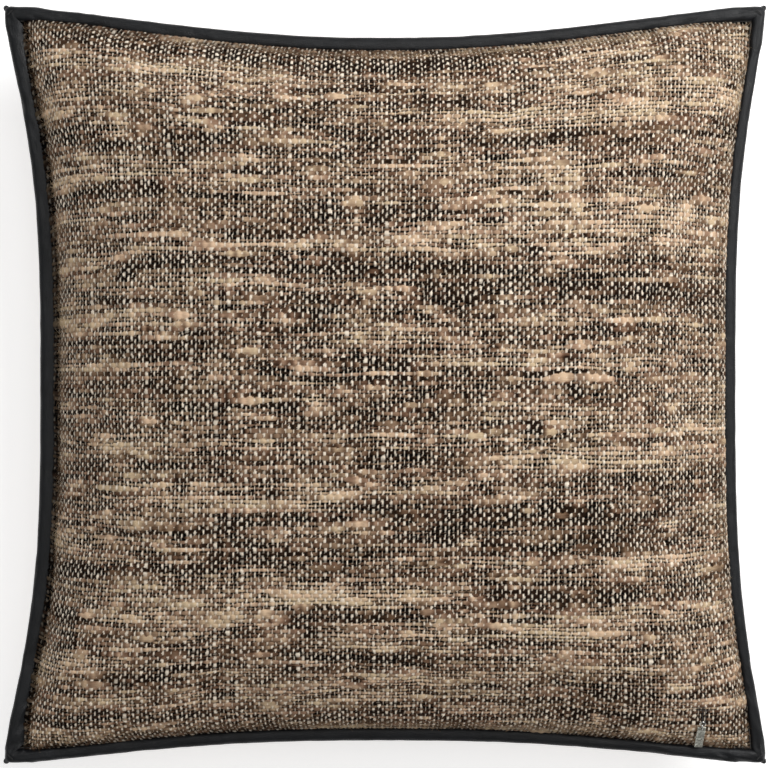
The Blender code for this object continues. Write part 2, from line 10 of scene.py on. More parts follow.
import bmesh
import bpy
import numpy as np
from bpy.props import FloatProperty, FloatVectorProperty, IntProperty, PointerProperty
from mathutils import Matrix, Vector


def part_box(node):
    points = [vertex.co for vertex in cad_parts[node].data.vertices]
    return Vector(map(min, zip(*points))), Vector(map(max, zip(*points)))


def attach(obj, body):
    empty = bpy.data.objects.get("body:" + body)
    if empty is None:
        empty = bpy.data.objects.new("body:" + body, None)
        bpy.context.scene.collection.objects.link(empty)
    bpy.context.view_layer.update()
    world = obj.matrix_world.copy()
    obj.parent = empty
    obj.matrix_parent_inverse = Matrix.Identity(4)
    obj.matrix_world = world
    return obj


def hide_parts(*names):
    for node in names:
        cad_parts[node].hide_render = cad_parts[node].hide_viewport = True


bl_info = {
    "name": "Slub Cloth Throw Pillow",
    "version": (1, 0, 0),
    "blender": (4, 5, 0),
    "location": "View3D > Sidebar > Pillow",
    "description": "Builds a piped throw pillow with a woven face, a zip and a small charm",
    "category": "Add Mesh",
}

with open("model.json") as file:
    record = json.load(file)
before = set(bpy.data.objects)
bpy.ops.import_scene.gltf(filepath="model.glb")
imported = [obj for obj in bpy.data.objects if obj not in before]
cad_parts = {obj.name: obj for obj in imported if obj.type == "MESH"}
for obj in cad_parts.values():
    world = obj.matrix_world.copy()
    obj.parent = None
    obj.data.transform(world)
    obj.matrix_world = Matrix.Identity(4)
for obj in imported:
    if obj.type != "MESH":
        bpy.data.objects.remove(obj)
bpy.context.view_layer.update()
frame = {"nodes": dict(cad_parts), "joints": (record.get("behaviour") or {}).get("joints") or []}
COVER = "cover"


# ------------------------------------------------------------------ what a user can change


def length(name, description, default):
    """A size in metres."""
    return FloatProperty(name=name, description=description, default=default, unit="LENGTH")


def share(name, description, default):
    """A number without a unit, mostly between 0 and 1."""
    return FloatProperty(name=name, description=description, default=default, subtype="FACTOR")


def colour(name, description, default):
    """A colour in linear red, green and blue."""
    return FloatVectorProperty(
        name=name, description=description, default=default, size=3, min=0, max=1,
        subtype="COLOR")


class PillowShape(bpy.types.PropertyGroup):
    half_x: length("Half width", "Middle to the seam's corner, sideways", 0.2435)
    half_y: length("Half height", "Middle to the seam's corner, up and down", 0.2420)
    draw_left: length("Left draw", "How far the left side draws in", 0.024)
    draw_right: length("Right draw", "How far the right side draws in", 0.020)
    draw_top: length("Top draw", "How far the top side draws in", 0.021)
    draw_bottom: length("Bottom draw", "How far the bottom side draws in", 0.015)
    flat_sides: FloatProperty(
        name="Side flatness", description="How straight left and right run", default=3.3)
    flat_top: FloatProperty(
        name="Top flatness", description="How straight the top runs", default=2.1)
    flat_bottom: FloatProperty(
        name="Bottom flatness", description="How straight the bottom runs", default=2.5)
    draw_ease: FloatProperty(
        name="Draw ease", description="How gently a side leaves its corners", default=1.6)
    seam: length("Seam height", "Floor to the seam's plane", 0.066)
    rim: length("Rim", "Seam's plane to the cloth's edge", 0.00365)
    front_crown: length("Front crown", "Rise of the face above its rim", 0.0764)
    back_crown: length("Back crown", "Fall of the back below its rim", 0.080)
    front_fullness: share("Front fullness", "The lower, the steeper the face rises", 0.50)
    back_fullness: share("Back fullness", "The lower, the steeper the back falls", 0.60)
    overhang_right: length("Right overhang", "How far it bulges over the right piping", 0.0056)
    overhang_bottom: length("Bottom overhang", "How far it bulges over the bottom piping", 0.0020)
    overhang_top: length("Top overhang", "How far it bulges over the top piping", 0.0008)
    overhang_left: length("Left overhang", "How far it bulges over the left piping", -0.0009)


class PillowCloth(bpy.types.PropertyGroup):
    pitch: length("Thread pitch", "Middle to middle of neighbouring threads", 0.00275)
    relief: length("Relief", "How far a thread swings above and below the cloth", 0.00030)
    warp_radius: length("Warp radius", "Half the thickness of a light upright thread", 0.00042)
    weft_radius: length("Weft radius", "Half the thickness of a slubby crosswise thread", 0.00060)
    face_samples: IntProperty(
        name="Face detail", description="Mesh lines per thread on the face", default=5)
    back_samples: IntProperty(
        name="Back detail", description="Mesh lines per thread on the back", default=3)
    fibres: IntProperty(
        name="Loose fibres", description="Fibres that stand out of the face", default=7000)
    edge_fibres: IntProperty(
        name="Edge fibres", description="Fibres that reach over the piping", default=9000)
    seed: IntProperty(name="Seed", description="Sets the pattern of slubs", default=11)


class PillowColours(bpy.types.PropertyGroup):
    warp: colour("Warp", "Light upright threads", (1.0, 0.88, 0.72))
    weft_dark: colour("Dark weft", "Darkest crosswise yarn", (0.016, 0.0075, 0.004))
    weft_brown: colour("Brown weft", "Middle brown crosswise yarn", (0.160, 0.086, 0.052))
    weft_taupe: colour("Taupe weft", "Greyed brown crosswise yarn", (0.380, 0.240, 0.158))
    weft_tan: colour("Tan weft", "Lightest crosswise yarn", (0.740, 0.520, 0.350))
    cool: colour("Cool cast", "Multiplied into the greener crosswise yarns", (0.84, 0.94, 0.88))
    leather: colour("Leather", "The piping's leather", (0.0042, 0.0047, 0.0056))
    charm: colour("Charm", "The charm's metal", (0.50, 0.50, 0.44))
    links: colour("Links", "The charm's brighter links", (0.90, 0.91, 0.88))


class PillowZip(bpy.types.PropertyGroup):
    line_y: length("Zip line", "Middle of the zip, up and down", -0.197)
    line_z: length("Zip height", "Floor to the cloth at the zip", 0.03285)
    half: length("Half zip", "Middle to the end of the coils", 0.150)
    slope: FloatProperty(
        name="Zip slope", description="Tilt of the cloth at the zip",
        default=math.radians(33), subtype="ANGLE")
    slit: length("Slit", "Gap between the two back pieces over the zip", 0.0014)


def settings(name):
    """One of the groups of sizes and colours above."""
    return getattr(bpy.context.scene, "pillow_" + name)


# ------------------------------------------------------------------ shader maths


class Signal:
    """A socket that carries one number, with arithmetic."""

    def __init__(self, graph, socket):
        self.graph, self.socket = graph, socket

    def math(self, operation, other):
        return self.graph.math(operation, self, other)

    def __add__(self, other):
        return self.math("ADD", other)

    def __sub__(self, other):
        return self.math("SUBTRACT", other)

    def __mul__(self, other):
        return self.math("MULTIPLY", other)

    def __rsub__(self, other):
        return self.graph.math("SUBTRACT", other, self)

    __radd__, __rmul__ = __add__, __mul__


class Graph:
    """A material under construction."""

    def __init__(self, name, **fixed):
        self.material = bpy.data.materials.new(name + "_finish")
        self.material.use_nodes = True
        self.tree = self.material.node_tree
        self.shader = self.tree.nodes["Principled BSDF"]
        for socket, value in fixed.items():
            self.shader.inputs[socket.replace("_", " ")].default_value = value

    def put(self, target, value):
        if isinstance(value, Signal):
            value = value.socket
        if isinstance(value, bpy.types.NodeSocket):
            self.tree.links.new(value, target)
        elif target.type == "RGBA" and len(value) == 3:
            target.default_value = (*value, 1.0)
        else:
            target.default_value = value

    def node(self, kind, sockets, **options):
        made = self.tree.nodes.new("ShaderNode" + kind)
        stops = options.pop("stops", None)
        for name, value in options.items():
            setattr(made, name, value)
        if stops:
            ramp = made.color_ramp.elements
            while len(ramp) < len(stops):
                ramp.new(1.0)
            for element, (place, shade) in zip(ramp, stops):
                element.position, element.color = place, (*shade, 1.0)
        for name, value in sockets.items():
            self.put(made.inputs[name], value)
        return made

    def math(self, operation, first, second):
        made = self.node("Math", {0: first, 1: second}, operation=operation)
        return Signal(self, made.outputs[0])

    def mix(self, factor, first, second, blend="MIX"):
        """A colour between two others, or a blend of them."""
        made = self.node("Mix", {0: factor, 6: first, 7: second},
                         data_type="RGBA", blend_type=blend)
        return made.outputs[2]

    def multiply(self, first, second):
        return self.mix(1.0, first, second, "MULTIPLY")

    def grey(self, value):
        return self.node("CombineColor", {0: value, 1: value, 2: value}).outputs[0]

    def ramp(self, value, stops):
        return self.node("ValToRGB", {0: value}, stops=stops).outputs[0]

    def weave(self):
        """What the mesh carries: the yarn's tone, where a light upright thread is on top, how
        high the cloth stands there, which the material turns into painted shade, and how green the
        yarn is."""
        found = self.node("Attribute", {}, attribute_name="weave", attribute_type="GEOMETRY")
        parts = self.node("SeparateColor", {0: found.outputs["Color"]})
        return [Signal(self, one) for one in (*parts.outputs, found.outputs["Alpha"])]

    def span(self, value, low, high, to_low=0.0, to_high=1.0):
        """Takes low and high to to_low and to_high, and holds what lies past them."""
        made = self.node("MapRange", {0: value, 1: low, 2: high, 3: to_low, 4: to_high})
        return Signal(self, made.outputs[0])

    def place(self, scale=(1, 1, 1)):
        """Places on the object, in metres, stretched."""
        found = self.node("TexCoord", {})
        return self.node("Mapping", {0: found.outputs["Object"], 3: scale}).outputs[0]

    def noise(self, scale, stretch=(1, 1, 1), detail=2.0):
        made = self.node("TexNoise", {"Vector": self.place(stretch), "Scale": scale,
                                      "Detail": detail})
        return Signal(self, made.outputs[0])

    def cells(self, scale):
        """Distance from the lines between small cells."""
        made = self.node("TexVoronoi", {"Vector": self.place(), "Scale": scale},
                         feature="DISTANCE_TO_EDGE")
        return Signal(self, made.outputs[0])

    def finish(self, base, roughness=None, height=None, depth=0.001, strength=1.0):
        """Links what was worked out to the material, with height as a bump."""
        self.put(self.shader.inputs["Base Color"], base)
        if roughness is not None:
            self.put(self.shader.inputs["Roughness"], roughness)
        if height is not None:
            bump = self.node("Bump", {"Height": height, "Distance": depth,
                                      "Strength": strength})
            self.put(self.shader.inputs["Normal"], bump.outputs[0])
        return self.material


# ------------------------------------------------------------------ materials


def slub_cloth():
    """Woven cloth: slubby brown yarn crosswise, thin light threads upright, and pits between them
    darkened with painted shade.
    """
    tint = settings("colours")
    g = Graph("slub_cloth", Specular_IOR_Level=0.05)
    tone, on_top, depth, hue = g.weave()
    along = g.noise(420, (0.35, 2.2, 1))
    across = g.noise(420, (2.2, 0.35, 1))
    weft = g.ramp(tone + (along - 0.5) * 0.30, [
        (0.0, tint.weft_dark), (0.34, tint.weft_brown),
        (0.66, tint.weft_taupe), (1.0, tint.weft_tan)])
    weft = g.mix(hue * 0.7, weft, g.multiply(weft, tint.cool))
    warp = g.multiply(tint.warp, g.grey(g.span(across, 0.3, 0.75, 0.82, 1.05)))
    # Painted shade: the colour darkens where depth is low, in the pits between the yarns and in the
    # groove beside the piping.
    base = g.multiply(g.mix(on_top, weft, warp), g.grey(g.span(depth, 0.10, 0.90)))
    fibre = along * (1 - on_top) + across * on_top
    return g.finish(base, g.span(fibre, 0.3, 0.7, 0.78, 0.95), fibre, 0.0005, 0.6)


def fuzz_yarn():
    """Loose fibres, each with the tone of the yarn that it came out of."""
    tint = settings("colours")
    g = Graph("fuzz_yarn", Specular_IOR_Level=0.1, Roughness=0.9)
    tone = g.weave()[0]
    base = g.ramp(tone + (g.noise(300) - 0.5) * 0.2, [
        (0.0, tint.weft_dark), (0.4, tint.weft_brown), (0.7, tint.weft_taupe),
        (1.0, tint.weft_tan)])
    return g.finish(g.multiply(base, tint.cool))


def leather():
    """Smooth black hide with a fine pebble grain, drawn tight into faint creases."""
    tint = settings("colours").leather
    g = Graph("black_leather", Specular_IOR_Level=0.30, Coat_Weight=0.03, Coat_Roughness=0.3)
    pebble = g.span(g.cells(900), 0.0, 0.22)
    mottle = g.noise(90, detail=4)
    pull = g.noise(160, (1, 1, 0.4), 3)
    lighter = tuple(2.1 * c for c in tint)
    base = g.mix(g.span(mottle, 0.35, 0.75), tint, lighter)
    rough = g.span(mottle + pebble * 0.15, 0.3, 0.9, 0.36, 0.52)
    return g.finish(base, rough, pebble * 0.25 + pull * 1.6, 0.0006, 0.6)


def spun(name, tone, dark, scale, stretch=(1, 1, 1), roughness=0.85):
    """Twisted or fine-woven textile in one colour."""
    g = Graph(name, Sheen_Weight=0.2)
    grain = g.noise(scale, stretch, 3)
    base = g.mix(g.span(grain, 0.3, 0.7), dark, tone)
    return g.finish(base, g.span(grain, 0.2, 0.8, roughness - 0.08, roughness + 0.08),
                    grain, 0.0003, 0.5)


def twill(name, tone, dark, scale):
    """A fine cloth with a crossed grain."""
    g = Graph(name, Sheen_Weight=0.15)
    over = g.node("TexWave", {"Vector": g.place(), "Scale": scale}, bands_direction="X")
    under = g.node("TexWave", {"Vector": g.place(), "Scale": scale}, bands_direction="Y")
    grid = Signal(g, over.outputs["Fac"]) * Signal(g, under.outputs["Fac"])
    fluff = g.noise(60, detail=4)
    base = g.mix(g.span(grid + fluff * 0.6, 0.1, 1.1), dark, tone)
    return g.finish(base, g.span(fluff, 0.3, 0.7, 0.8, 0.92), grid, 0.0002, 0.5)


def metal(name, tone, low, high, scale=220, depth=0.00012):
    """Cast or stamped metal, worn unevenly."""
    g = Graph(name, Metallic=1.0)
    wear = g.noise(scale, detail=4)
    tarnish = tuple(0.45 * c for c in tone)
    base = g.mix(g.span(wear, 0.32, 0.56), tarnish, tone)
    return g.finish(base, g.span(wear, 0.3, 0.7, high, low), wear, depth, 0.6)


def moulded(name, tone, roughness):
    """Plain plastic, a little uneven."""
    g = Graph(name)
    fleck = g.noise(500, detail=3)
    base = g.mix(g.span(fleck, 0.3, 0.7), tuple(0.75 * c for c in tone), tone)
    return g.finish(base, g.span(fleck, 0.2, 0.8, roughness - 0.06, roughness + 0.08),
                    fleck, 0.0001, 0.4)


FINISHES = {}


def make_materials():
    """Makes every material, and keeps it in FINISHES under its plain name."""
    made = [
        slub_cloth(), fuzz_yarn(), leather(),
        spun("cotton_cord", (0.72, 0.68, 0.60), (0.50, 0.46, 0.39), 700, (1, 1, 2)),
        spun("black_thread", (0.022, 0.021, 0.020), (0.006, 0.006, 0.006), 2200),
        twill("zip_tape", (0.055, 0.045, 0.038), (0.018, 0.015, 0.012), 420),
        moulded("zip_nylon", (0.060, 0.050, 0.042), 0.42),
        metal("dark_metal", (0.16, 0.15, 0.14), 0.28, 0.48),
        twill("ticking", (0.80, 0.78, 0.73), (0.60, 0.57, 0.52), 300),
        spun("feather", (0.86, 0.84, 0.80), (0.70, 0.67, 0.62), 160, (1, 1, 1), 0.9),
        twill("label_satin", (0.85, 0.84, 0.82), (0.70, 0.69, 0.66), 500),
        metal("charm_metal", settings("colours").charm, 0.22, 0.42, 420, 0.00010),
        metal("link_metal", settings("colours").links, 0.16, 0.30, 420, 0.00006),
    ]
    for one in made:
        FINISHES[one.name.removesuffix("_finish")] = one


def dress(piece, material):
    """Gives a piece its one material."""
    piece.data.materials.clear()
    piece.data.materials.append(FINISHES[material])


def dress_frame(finishes):
    """Gives the frame's own pieces their materials, from lists of nodes by material."""
    for material, nodes in finishes.items():
        for node in nodes:
            dress(frame["nodes"][node], material)


# ------------------------------------------------------------------ outline and surfaces


def draw(t, flatness):
    """How much of a side's draw is left at t: 1 in its middle, 0 at its corners."""
    return (1 - np.minimum(1.0, np.abs(t)) ** flatness) ** settings("shape").draw_ease


def edge_x(y, right, out=0.0):
    """Middle to the left or right side at y, for the outline 'out' outside the seam."""
    shape = settings("shape")
    amount = np.where(right, shape.draw_right, shape.draw_left)
    return shape.half_x + out - amount * draw(y / (shape.half_y + out), shape.flat_sides)


def edge_y(x, top, out=0.0):
    """Middle to the top or bottom side at x, for the outline 'out' outside the seam."""
    shape = settings("shape")
    amount = np.where(top, shape.draw_top, shape.draw_bottom)
    flatness = np.where(top, shape.flat_top, shape.flat_bottom)
    return shape.half_y + out - amount * draw(x / (shape.half_x + out), flatness)


def insets(x, y):
    """How far (x, y) lies inside the left or right seam, and inside the top or bottom one."""
    return edge_x(y, x > 0) - np.abs(x), edge_y(x, y > 0) - np.abs(y)


def crown(x, y, fullness):
    """Share of the crown's height at (x, y)."""
    across = x / edge_x(y, x > 0)
    along = y / edge_y(x, y > 0)
    room = np.clip(1 - across**2, 0, 1) * np.clip(1 - along**2, 0, 1)
    return room**fullness


def smooth(t):
    """Rises smoothly from 0 at 0 to 1 at 1."""
    t = np.clip(t, 0, 1)
    return t * t * (3 - 2 * t)


def fade(value, start, width):
    """1 up to start, then a smooth fall to 0."""
    return 1 - smooth((np.abs(value) - start) / width)


def front_height(x, y):
    """Floor to the face."""
    shape = settings("shape")
    return shape.seam + shape.rim + shape.front_crown * crown(x, y, shape.front_fullness)


ZIP_HOLD_TALL = (0.017, 0.030)  # where the tapes' hold starts to fade, and over how far
ZIP_HOLD_WIDE = (0.162, 0.055)


def zip_band(x, y):
    """1 where the zip's tapes hold the back straight, 0 away from them."""
    return fade(y - settings("zip").line_y, *ZIP_HOLD_TALL) * fade(x, *ZIP_HOLD_WIDE)


def back_height(x, y):
    """Floor to the back."""
    shape, line = settings("shape"), settings("zip")
    edge = shape.seam - shape.rim
    depth = shape.back_crown * crown(x, y, shape.back_fullness)
    held = edge - line.line_z + math.tan(line.slope) * (y - line.line_y)
    depth = depth + zip_band(x, y) * (held - depth)
    return np.maximum(0.0, edge - depth)


def cubic_weights(t):
    """The four Catmull-Rom weights at t between the middle two points."""
    return (0.5 * (-t + 2 * t**2 - t**3), 0.5 * (2 - 5 * t**2 + 3 * t**3),
            0.5 * (t + 4 * t**2 - 3 * t**3), 0.5 * (-(t**2) + t**3))


def sample(table, row, column):
    """Smoothly reads a table of numbers, or of vectors, between its entries."""
    rows, columns = table.shape[:2]
    r0, c0 = np.floor(row).astype(int), np.floor(column).astype(int)
    found = 0.0
    row_weights, column_weights = cubic_weights(row - r0), cubic_weights(column - c0)
    for i, wr in enumerate(row_weights):
        r = np.clip(r0 + i - 1, 0, rows - 1)
        line = 0.0
        for j, wc in enumerate(column_weights):
            value = table[r, np.clip(c0 + j - 1, 0, columns - 1)]
            line = line + value * (wc[..., None] if table.ndim == 3 else wc)
        found = found + line * (wr[..., None] if table.ndim == 3 else wr)
    return found


def sample_row(table, row, column):
    """Reads a table smoothly along its rows, at whole row numbers."""
    columns = table.shape[1]
    c0 = np.floor(column).astype(int)
    found = 0.0
    for j, weight in enumerate(cubic_weights(column - c0)):
        found = found + table[row, np.clip(c0 + j - 1, 0, columns - 1)] * weight
    return found


def mesh_object(name, points, faces):
    """A mesh piece from arrays of points and of three- or four-cornered faces."""
    mesh = bpy.data.meshes.new(name)
    mesh.vertices.add(len(points))
    mesh.vertices.foreach_set("co", np.asarray(points, np.float32).ravel())
    sides = faces.shape[1]
    mesh.loops.add(faces.size)
    mesh.loops.foreach_set("vertex_index", faces.astype(np.int32).ravel())
    mesh.polygons.add(len(faces))
    mesh.polygons.foreach_set("loop_start", np.arange(0, faces.size, sides, dtype=np.int32))
    mesh.update(calc_edges=True)
    mesh.polygons.foreach_set("use_smooth", np.ones(len(faces), bool))
    mesh.validate()
    made = bpy.data.objects.new(name, mesh)
    bpy.context.scene.collection.objects.link(made)
    return made


def carry(piece, name, values):
    """Stores a colour per point, which the piece's material reads."""
    held = piece.data.attributes.new(name, "FLOAT_COLOR", "POINT")
    held.data.foreach_set("color", np.asarray(values, np.float32).ravel())


def per_point(points, name, wide):
    """What each of a mesh's points holds under a name, one row for each."""
    held = np.empty(len(points) * wide, np.float32)
    points.foreach_get(name, held)
    return held.reshape(-1, wide).astype(float)


def bake_map(piece, u, v):
    """A flat layout, from 0 to 1, for baking."""
    layer = piece.data.uv_layers.new(name="OFBake")
    corner = np.empty(len(piece.data.loops), np.int32)
    piece.data.loops.foreach_get("vertex_index", corner)
    layer.data.foreach_set("uv", np.stack([u, v], 1)[corner].astype(np.float32).ravel())


def grid_faces(rows, columns, looped=False):
    """Four-cornered faces of a grid of points, whose rows may close into loops."""
    r, c = np.meshgrid(np.arange(rows - 1), np.arange(columns - (not looped)), indexing="ij")
    after = (c + 1) % columns
    faces = [r * columns + c, r * columns + after, (r + 1) * columns + after,
             (r + 1) * columns + c]
    return np.stack(faces, -1).reshape(-1, 4)


# ------------------------------------------------------------------ filling the cover


PAD_LINES = 76  # mesh lines each way on the plain copy of the cover
PAD_START = 0.97  # its height at first, as a share of the finished one
PAD_SHARE = 0.45  # how much of its movement the woven face takes
PAD_CAP = 0.0032  # the most that a point of the face may rise
PAD_FRAMES = 20
PAD_CLOTH = {
    "quality": 6, "mass": 0.3, "tension_stiffness": 25, "compression_stiffness": 25,
    "shear_stiffness": 8, "bending_stiffness": 0.4, "use_pressure": True,
    "uniform_pressure_force": 4.0, "shrink_min": -0.02, "vertex_group_mass": "seam",
}


def pad_steps():
    """Places of the pad's lines from -1 to 1, closer together near the seam."""
    even = np.linspace(-1, 1, PAD_LINES)
    return np.sin(even * math.pi / 2) * 0.7 + even * 0.3


def pad_sheet(front, scale=1.0):
    """Points of one face on a square grid that follows the outline."""
    steps = pad_steps()
    shape = settings("shape")
    v, u = np.meshgrid(steps, steps, indexing="ij")
    x, y = u * shape.half_x, v * shape.half_y
    for _ in range(12):
        x, y = u * edge_x(y, u > 0), v * edge_y(x, v > 0)
    if front:
        z = shape.seam + scale * (front_height(x, y) - shape.seam)
    else:
        z = shape.seam - scale * (shape.seam - back_height(x, y))
    return np.stack([x, y, z], -1)


def puff():
    """Fills a plain copy of the cover with air, and returns how far each point of its face
    moved. The seam stays where it is."""
    front, back = pad_sheet(True, PAD_START), pad_sheet(False, PAD_START)
    inner = np.zeros((PAD_LINES, PAD_LINES), bool)
    inner[1:-1, 1:-1] = True
    index = np.arange(PAD_LINES**2).reshape(PAD_LINES, PAD_LINES)
    back_index = index.copy()
    back_index[inner] = PAD_LINES**2 + np.arange(inner.sum())
    faces = grid_faces(PAD_LINES, PAD_LINES)
    under = back_index.ravel()[faces][:, ::-1]
    points = np.concatenate([front.reshape(-1, 3), back[inner]])
    pad = mesh_object("pad_trial", points, np.concatenate([faces, under]))
    pinned = pad.vertex_groups.new(name="seam")
    pinned.add([int(k) for k in index[~inner]], 1.0, "REPLACE")
    cloth = pad.modifiers.new("fill", "CLOTH")
    for key, value in PAD_CLOTH.items():
        setattr(cloth.settings, key, value)
    cloth.settings.effector_weights.gravity = 0
    cloth.collision_settings.use_collision = False
    scene = bpy.context.scene
    cloth.point_cache.frame_start, cloth.point_cache.frame_end = 1, PAD_FRAMES
    for step in range(1, PAD_FRAMES + 1):
        scene.frame_set(step)
    graph = bpy.context.evaluated_depsgraph_get()
    settled = pad.evaluated_get(graph).to_mesh()
    held = np.empty(len(points) * 3)
    settled.vertices.foreach_get("co", held)
    held = held.reshape(-1, 3)[: PAD_LINES**2].reshape(PAD_LINES, PAD_LINES, 3)
    scene.frame_set(1)
    bpy.data.objects.remove(pad)
    moved = PAD_SHARE * (held - pad_sheet(True))
    moved[..., :2] = np.clip(moved[..., :2], -PAD_CAP / 2, PAD_CAP / 2)
    moved[..., 2] = np.clip(moved[..., 2], -PAD_CAP / 4, PAD_CAP)
    return moved


def pad_place(x, y):
    """Row and column of (x, y) on the pad's grid."""
    steps, number = pad_steps(), np.arange(PAD_LINES)
    u, v = x / edge_x(y, x > 0), y / edge_y(x, y > 0)
    return np.interp(v, steps, number), np.interp(u, steps, number)


# ------------------------------------------------------------------ weave


LAY = 0.36  # the lower, the nearer to the sides the threads run straight
STRETCH = 2.2  # the most cloth that one step across takes up where the pillow is steep
FINE_STEPS = 4000


def thread_axis(profile, reaches, pitch, samples):
    """Mesh lines that follow the threads along one axis: their thread numbers, and where they
    lie, from -1 at one side to 1 at the other, over the middle and along the cloth's ends."""
    numbers, middles, ends = [], [], []
    for sign, reach in zip((-1, 1), reaches):
        fine = np.linspace(0, reach, FINE_STEPS)
        run, rise = np.diff(fine), np.diff(profile(sign * fine))
        steps = np.minimum(np.hypot(run, rise), run * STRETCH)
        threads = np.concatenate([[0], np.cumsum(steps)]) / pitch
        at = np.linspace(0, threads[-1], round(threads[-1] * samples) + 1)
        numbers.append(at * sign)
        middles.append(np.interp(at, threads, fine / reach) * sign)
        ends.append(at / at[-1] * sign)
    return [np.concatenate([low[:0:-1], high]) for low, high in (numbers, middles, ends)]


def lay_cloth(height, samples):
    """Thread numbers and places of the mesh's points. The cloth keeps its threads' spacing
    where it rises over the middle, so its sides draw in and its threads bend near them."""
    cloth, zero = settings("cloth"), np.zeros(1)
    wide = [float(edge_x(zero, side)[0]) for side in (False, True)]
    tall = [float(edge_y(zero, side)[0]) for side in (False, True)]
    number_x, middle_x, end_x = thread_axis(
        lambda s: height(s, np.zeros_like(s)), wide, cloth.pitch, samples)
    number_y, middle_y, end_y = thread_axis(
        lambda s: height(np.zeros_like(s), s), tall, cloth.pitch, samples)
    b, a = np.meshgrid(number_y, number_x, indexing="ij")
    v_middle, u_middle = np.meshgrid(middle_y, middle_x, indexing="ij")
    v_end, u_end = np.meshgrid(end_y, end_x, indexing="ij")
    u, v = u_middle, v_middle
    for _ in range(3):
        over_v, over_u = (1 - v**2) ** LAY, (1 - u**2) ** LAY
        u = over_v * u_middle + (1 - over_v) * u_end
        v = over_u * v_middle + (1 - over_u) * v_end
    shape = settings("shape")
    x, y = u * shape.half_x, v * shape.half_y
    for _ in range(8):
        x, y = u * edge_x(y, u > 0), v * edge_y(x, v > 0)
    return a, b, x, y


# Lengths of the patterns in the yarns, counted in threads.
BAND_LONG, BAND_TALL = 46, 4
STREAK_LONG, KNOT_LONG, FAT_LONG, HUE_LONG, BLOT_LONG = 15, 4, 7, 9, 5
DRIFT_LONG, DRIFT_TALL, BLOT_TALL, LEAN_TALL, SHADE_TALL = 9, 2, 2.2, 7, 10
# Half widths, least and most, of the slubby crosswise yarn and of the thin upright one.
WEFT_WIDTH, WARP_WIDTH = (0.22, 0.90), (0.12, 0.34)


